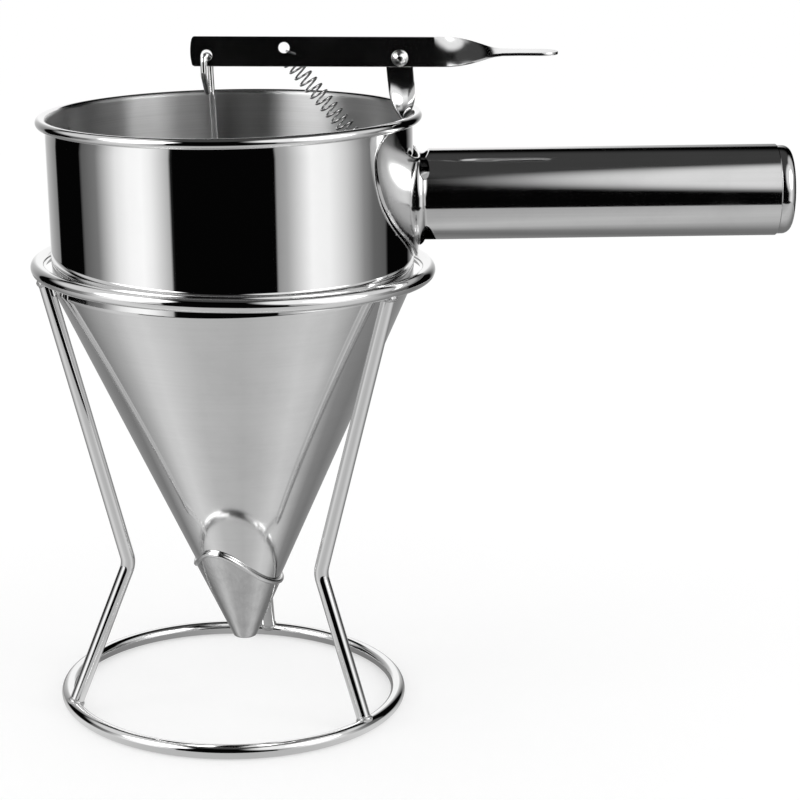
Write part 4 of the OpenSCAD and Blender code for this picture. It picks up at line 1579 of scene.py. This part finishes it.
@dataclass
class Studio:
    """Floor, soft boxes and camera.

    Azimuth 0 is the camera's side and 90 the handle's side.
    """

    middle: tuple[float, float, float] = (0.03, 0.0, 0.17)
    dome_r: float = 0.68
    card_r: float = 0.62
    card_z: float = 0.0002
    card_fade: float = 0.012
    band_top: tuple[float, float] = (26, 31)
    above: tuple[float, float] = (42, 60)
    above_level: float = 0.06
    lift: float = 3.0
    yaw: float = 0.0154
    pitch: float = 0.259
    roll: float = 0.019
    eye: tuple[float, float, float] = (0.046153, -0.756486, 0.310308)
    lens: float = 100.87
    floor_front: float = -0.49
    table_front: float = -0.345
    band: Levels = (
        (-180, 1.0), (-160, 1.0), (-150, 0.55), (-128, 0.25), (-126.5, DARK), (-98, DARK), (-96.5, 0.11),
        (-84, 0.2), (-69, 0.87), (-61, 1.05), (-52, 1.1), (-46, 0.96), (-35, 0.47), (-33.7, DARK),
        (26.8, DARK), (28.2, 0.32), (34, 0.42), (50, 1.05), (62, 1.0), (75, 0.7), (90, 0.27), (99, 0.14),
        (111, 0.11), (113.5, DARK), (145, DARK), (164, 0.6), (170, 1.0), (180, 1.0),
    )
    table: Levels = (
        (-180, 0.37), (-120, 0.2), (-90, 0.46), (-74, 0.65), (-60, 0.7), (-28, 0.53), (10, 0.48),
        (30, 0.53), (55, 0.66), (75, 0.6), (104, 0.25), (125, 0.2), (150, 0.26), (180, 0.37),
    )
    glows: tuple[Glow, ...] = (
        Glow(50, 31, 25, 39, 0.95),
        Glow(84, 36, 16, 32, 0.7),
        Glow(-90, 38, 20, 36, 0.7),
        Glow(59, 25, 9, 24, 3.9),
        Glow(-56, 25, 10, 26, 3.9),
    )

    @staticmethod
    def round_levels(bench: NodeBench, way: Socket, levels: Levels) -> Socket:
        """Looks up a level by azimuth.

        Args:
            bench: The material's bench.
            way: A direction, or a place seen from the middle.
            levels: Azimuths in degrees and levels.

        Returns:
            The level.
        """
        peak = max(level for _, level in levels)
        apart = bench.add("ShaderNodeSeparateXYZ", {0: way})
        azimuth = bench.maths("ARCTAN2", apart.outputs[0], bench.maths("MULTIPLY", apart.outputs[1], -1.0))
        ramp = bench.add("ShaderNodeValToRGB", {0: bench.map_range(azimuth, -pi, pi)})
        stops = ramp.color_ramp.elements
        while len(stops) < len(levels):
            stops.new(1.0)
        for stop, (angle, level) in zip(stops, levels):
            stop.position = (angle + 180) / 360
            stop.color = (level / peak, level / peak, level / peak, 1)
        return bench.maths("MULTIPLY", bench.add("ShaderNodeRGBToBW", {0: ramp.outputs[0]}).outputs[0], peak)

    @staticmethod
    def shine(
        obj: bpy.types.Object, made: bpy.types.Material, bench: NodeBench, light: Socket
    ) -> None:
        """Makes a piece of the studio glow for the metal's reflections alone.

        Args:
            obj: The piece.
            made: Its material.
            bench: The material's bench.
            light: The strength of its light.
        """
        glow = bench.add("ShaderNodeEmission", {"Color": WHITE, "Strength": light})
        bench.add("ShaderNodeOutputMaterial", {"Surface": glow.outputs[0]})
        only(obj)
        bpy.ops.object.transform_apply(location=True)
        obj.visible_camera = obj.visible_diffuse = obj.visible_shadow = False
        obj.data.materials.append(made)

    def floor(self) -> None:
        """Lays the pale floor, which ends in front of the camera's view."""
        clear_selection()
        bpy.ops.mesh.primitive_plane_add(size=2, location=(0, 0, 0))
        obj = named("Floor")
        bpy.ops.object.mode_set(mode="EDIT")
        bpy.ops.transform.resize(value=(3, 2.6, 1))
        bpy.ops.transform.translate(value=(0, 2.6 + self.floor_front, 0))
        leave()
        made, bench = blank_material("floor_paper")
        paper = bench.add("ShaderNodeBsdfDiffuse", {"Color": (0.5, 0.5, 0.5, 1)})
        seen = bench.add("ShaderNodeLightPath").outputs["Is Camera Ray"]
        white = bench.add(
            "ShaderNodeEmission", {"Color": WHITE, "Strength": bench.maths("MULTIPLY", seen, 0.5)}
        )
        both = bench.add("ShaderNodeAddShader", {0: paper.outputs[0], 1: white.outputs[0]})
        bench.add("ShaderNodeOutputMaterial", {"Surface": both.outputs[0]})
        obj.data.materials.append(made)

    def dome(self) -> None:
        """Hangs the soft boxes that the metal mirrors."""
        clear_selection()
        bpy.ops.mesh.primitive_uv_sphere_add(
            segments=64, ring_count=32, radius=self.dome_r, location=self.middle
        )
        obj = named("Light_Dome")
        made, bench = blank_material("soft_boxes")
        coords = bench.add("ShaderNodeTexCoord").outputs["Object"]
        way = bench.vector("NORMALIZE", bench.vector("SUBTRACT", coords, self.middle).outputs[0]).outputs[0]
        height = bench.add("ShaderNodeSeparateXYZ", {0: way}).outputs[2]

        def by_height(low: float, high: float, to: tuple[float, float]) -> Socket:
            """A level that eases from one to another between two elevations in degrees."""
            return bench.map_range(height, sin(radians(low)), sin(radians(high)), to, True)

        fade = by_height(*self.band_top, (1.0, 0.0))
        light = bench.maths("MULTIPLY", self.round_levels(bench, way, self.band), fade)
        above = by_height(*self.above, (0.0, self.above_level))
        light = bench.maths("ADD", light, above)
        lift = by_height(-self.lift, self.lift, (0.0, 1.0))
        for glow in self.glows:
            near = bench.vector("DOT_PRODUCT", way, glow.way()).outputs["Value"]
            spot = bench.map_range(
                near, cos(radians(glow.outer)), cos(radians(glow.inner)), (0.0, glow.strength), True
            )
            spot = bench.maths("MULTIPLY", spot, lift)
            light = bench.maths("MAXIMUM", light, spot)
        self.shine(obj, made, bench, light)

    def card(self) -> None:
        """Lays a lit card just above the floor, for the metal's reflections alone."""
        clear_selection()
        bpy.ops.mesh.primitive_circle_add(
            vertices=96, radius=self.card_r, fill_type="NGON", location=(0, 0, self.card_z)
        )
        obj = named("Table_Glow")
        made, bench = blank_material("table_glow")
        spot = bench.add("ShaderNodeTexCoord").outputs["Object"]
        depth = bench.add("ShaderNodeSeparateXYZ", {0: spot}).outputs[1]
        edge, half = self.table_front, self.card_fade
        fade = bench.map_range(depth, edge - half, edge + half, (0.004, 1.0), True)
        light = bench.maths("MULTIPLY", self.round_levels(bench, spot, self.table), fade)
        self.shine(obj, made, bench, light)

    def lamps(self) -> None:
        """Adds the soft lamps whose light on the floor casts the legs' faint shadows."""
        for name, spot in (("Lamp_Left", (-1.0, -0.45, 0.75)), ("Lamp_Right", (1.0, -0.45, 0.75))):
            clear_selection()
            bpy.ops.object.light_add(type="AREA", location=spot)
            lamp = bpy.context.active_object
            lamp.name = name
            lamp.data.energy = 1.0
            lamp.data.size = 0.35
            lamp.rotation_euler = (Vector(self.middle) - Vector(spot)).to_track_quat("-Z", "Y").to_euler()
            lamp.visible_glossy = lamp.visible_camera = False

    def world(self) -> None:
        """Lights the room evenly in white."""
        world = bpy.data.worlds.new("Room")
        bpy.context.scene.world = world
        world.use_nodes = True
        world.node_tree.nodes.clear()
        bench = NodeBench(world.node_tree)
        sky = bench.add("ShaderNodeBackground", {"Color": WHITE, "Strength": 1.0})
        bench.add("ShaderNodeOutputWorld", {"Surface": sky.outputs[0]})

    def camera(self) -> None:
        """Sets the camera in front, a little above the rim."""
        yaw, pitch, roll = self.yaw, self.pitch, self.roll
        ahead = Vector((sin(yaw) * cos(pitch), cos(yaw) * cos(pitch), -sin(pitch)))
        right = ahead.cross(Vector((0, 0, 1))).normalized()
        up = right.cross(ahead)
        right, up = right * cos(roll) + up * sin(roll), up * cos(roll) - right * sin(roll)
        clear_selection()
        bpy.ops.object.camera_add(location=self.eye)
        camera = bpy.context.active_object
        camera.name = "Camera"
        turned = Matrix((right, up, -ahead)).transposed().to_4x4()
        camera.matrix_world = Matrix.Translation(camera.location) @ turned
        camera.data.sensor_width = 36
        camera.data.lens = self.lens
        camera.data.clip_start = 0.01
        bpy.context.scene.camera = camera

    def build(self) -> None:
        """Sets up the studio."""
        self.floor()
        self.dome()
        self.card()
        self.lamps()
        self.world()
        self.camera()
        bpy.context.scene.view_settings.view_transform = "Standard"


def main() -> None:
    """Builds every sub-assembly."""
    logging.basicConfig(level=logging.INFO, format="%(message)s")
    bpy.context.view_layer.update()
    Stand().build()
    Hopper().build()
    Handle().build()
    Valve().build()
    Studio().build()
    clear_selection()


if __name__ == "__main__":
    main()
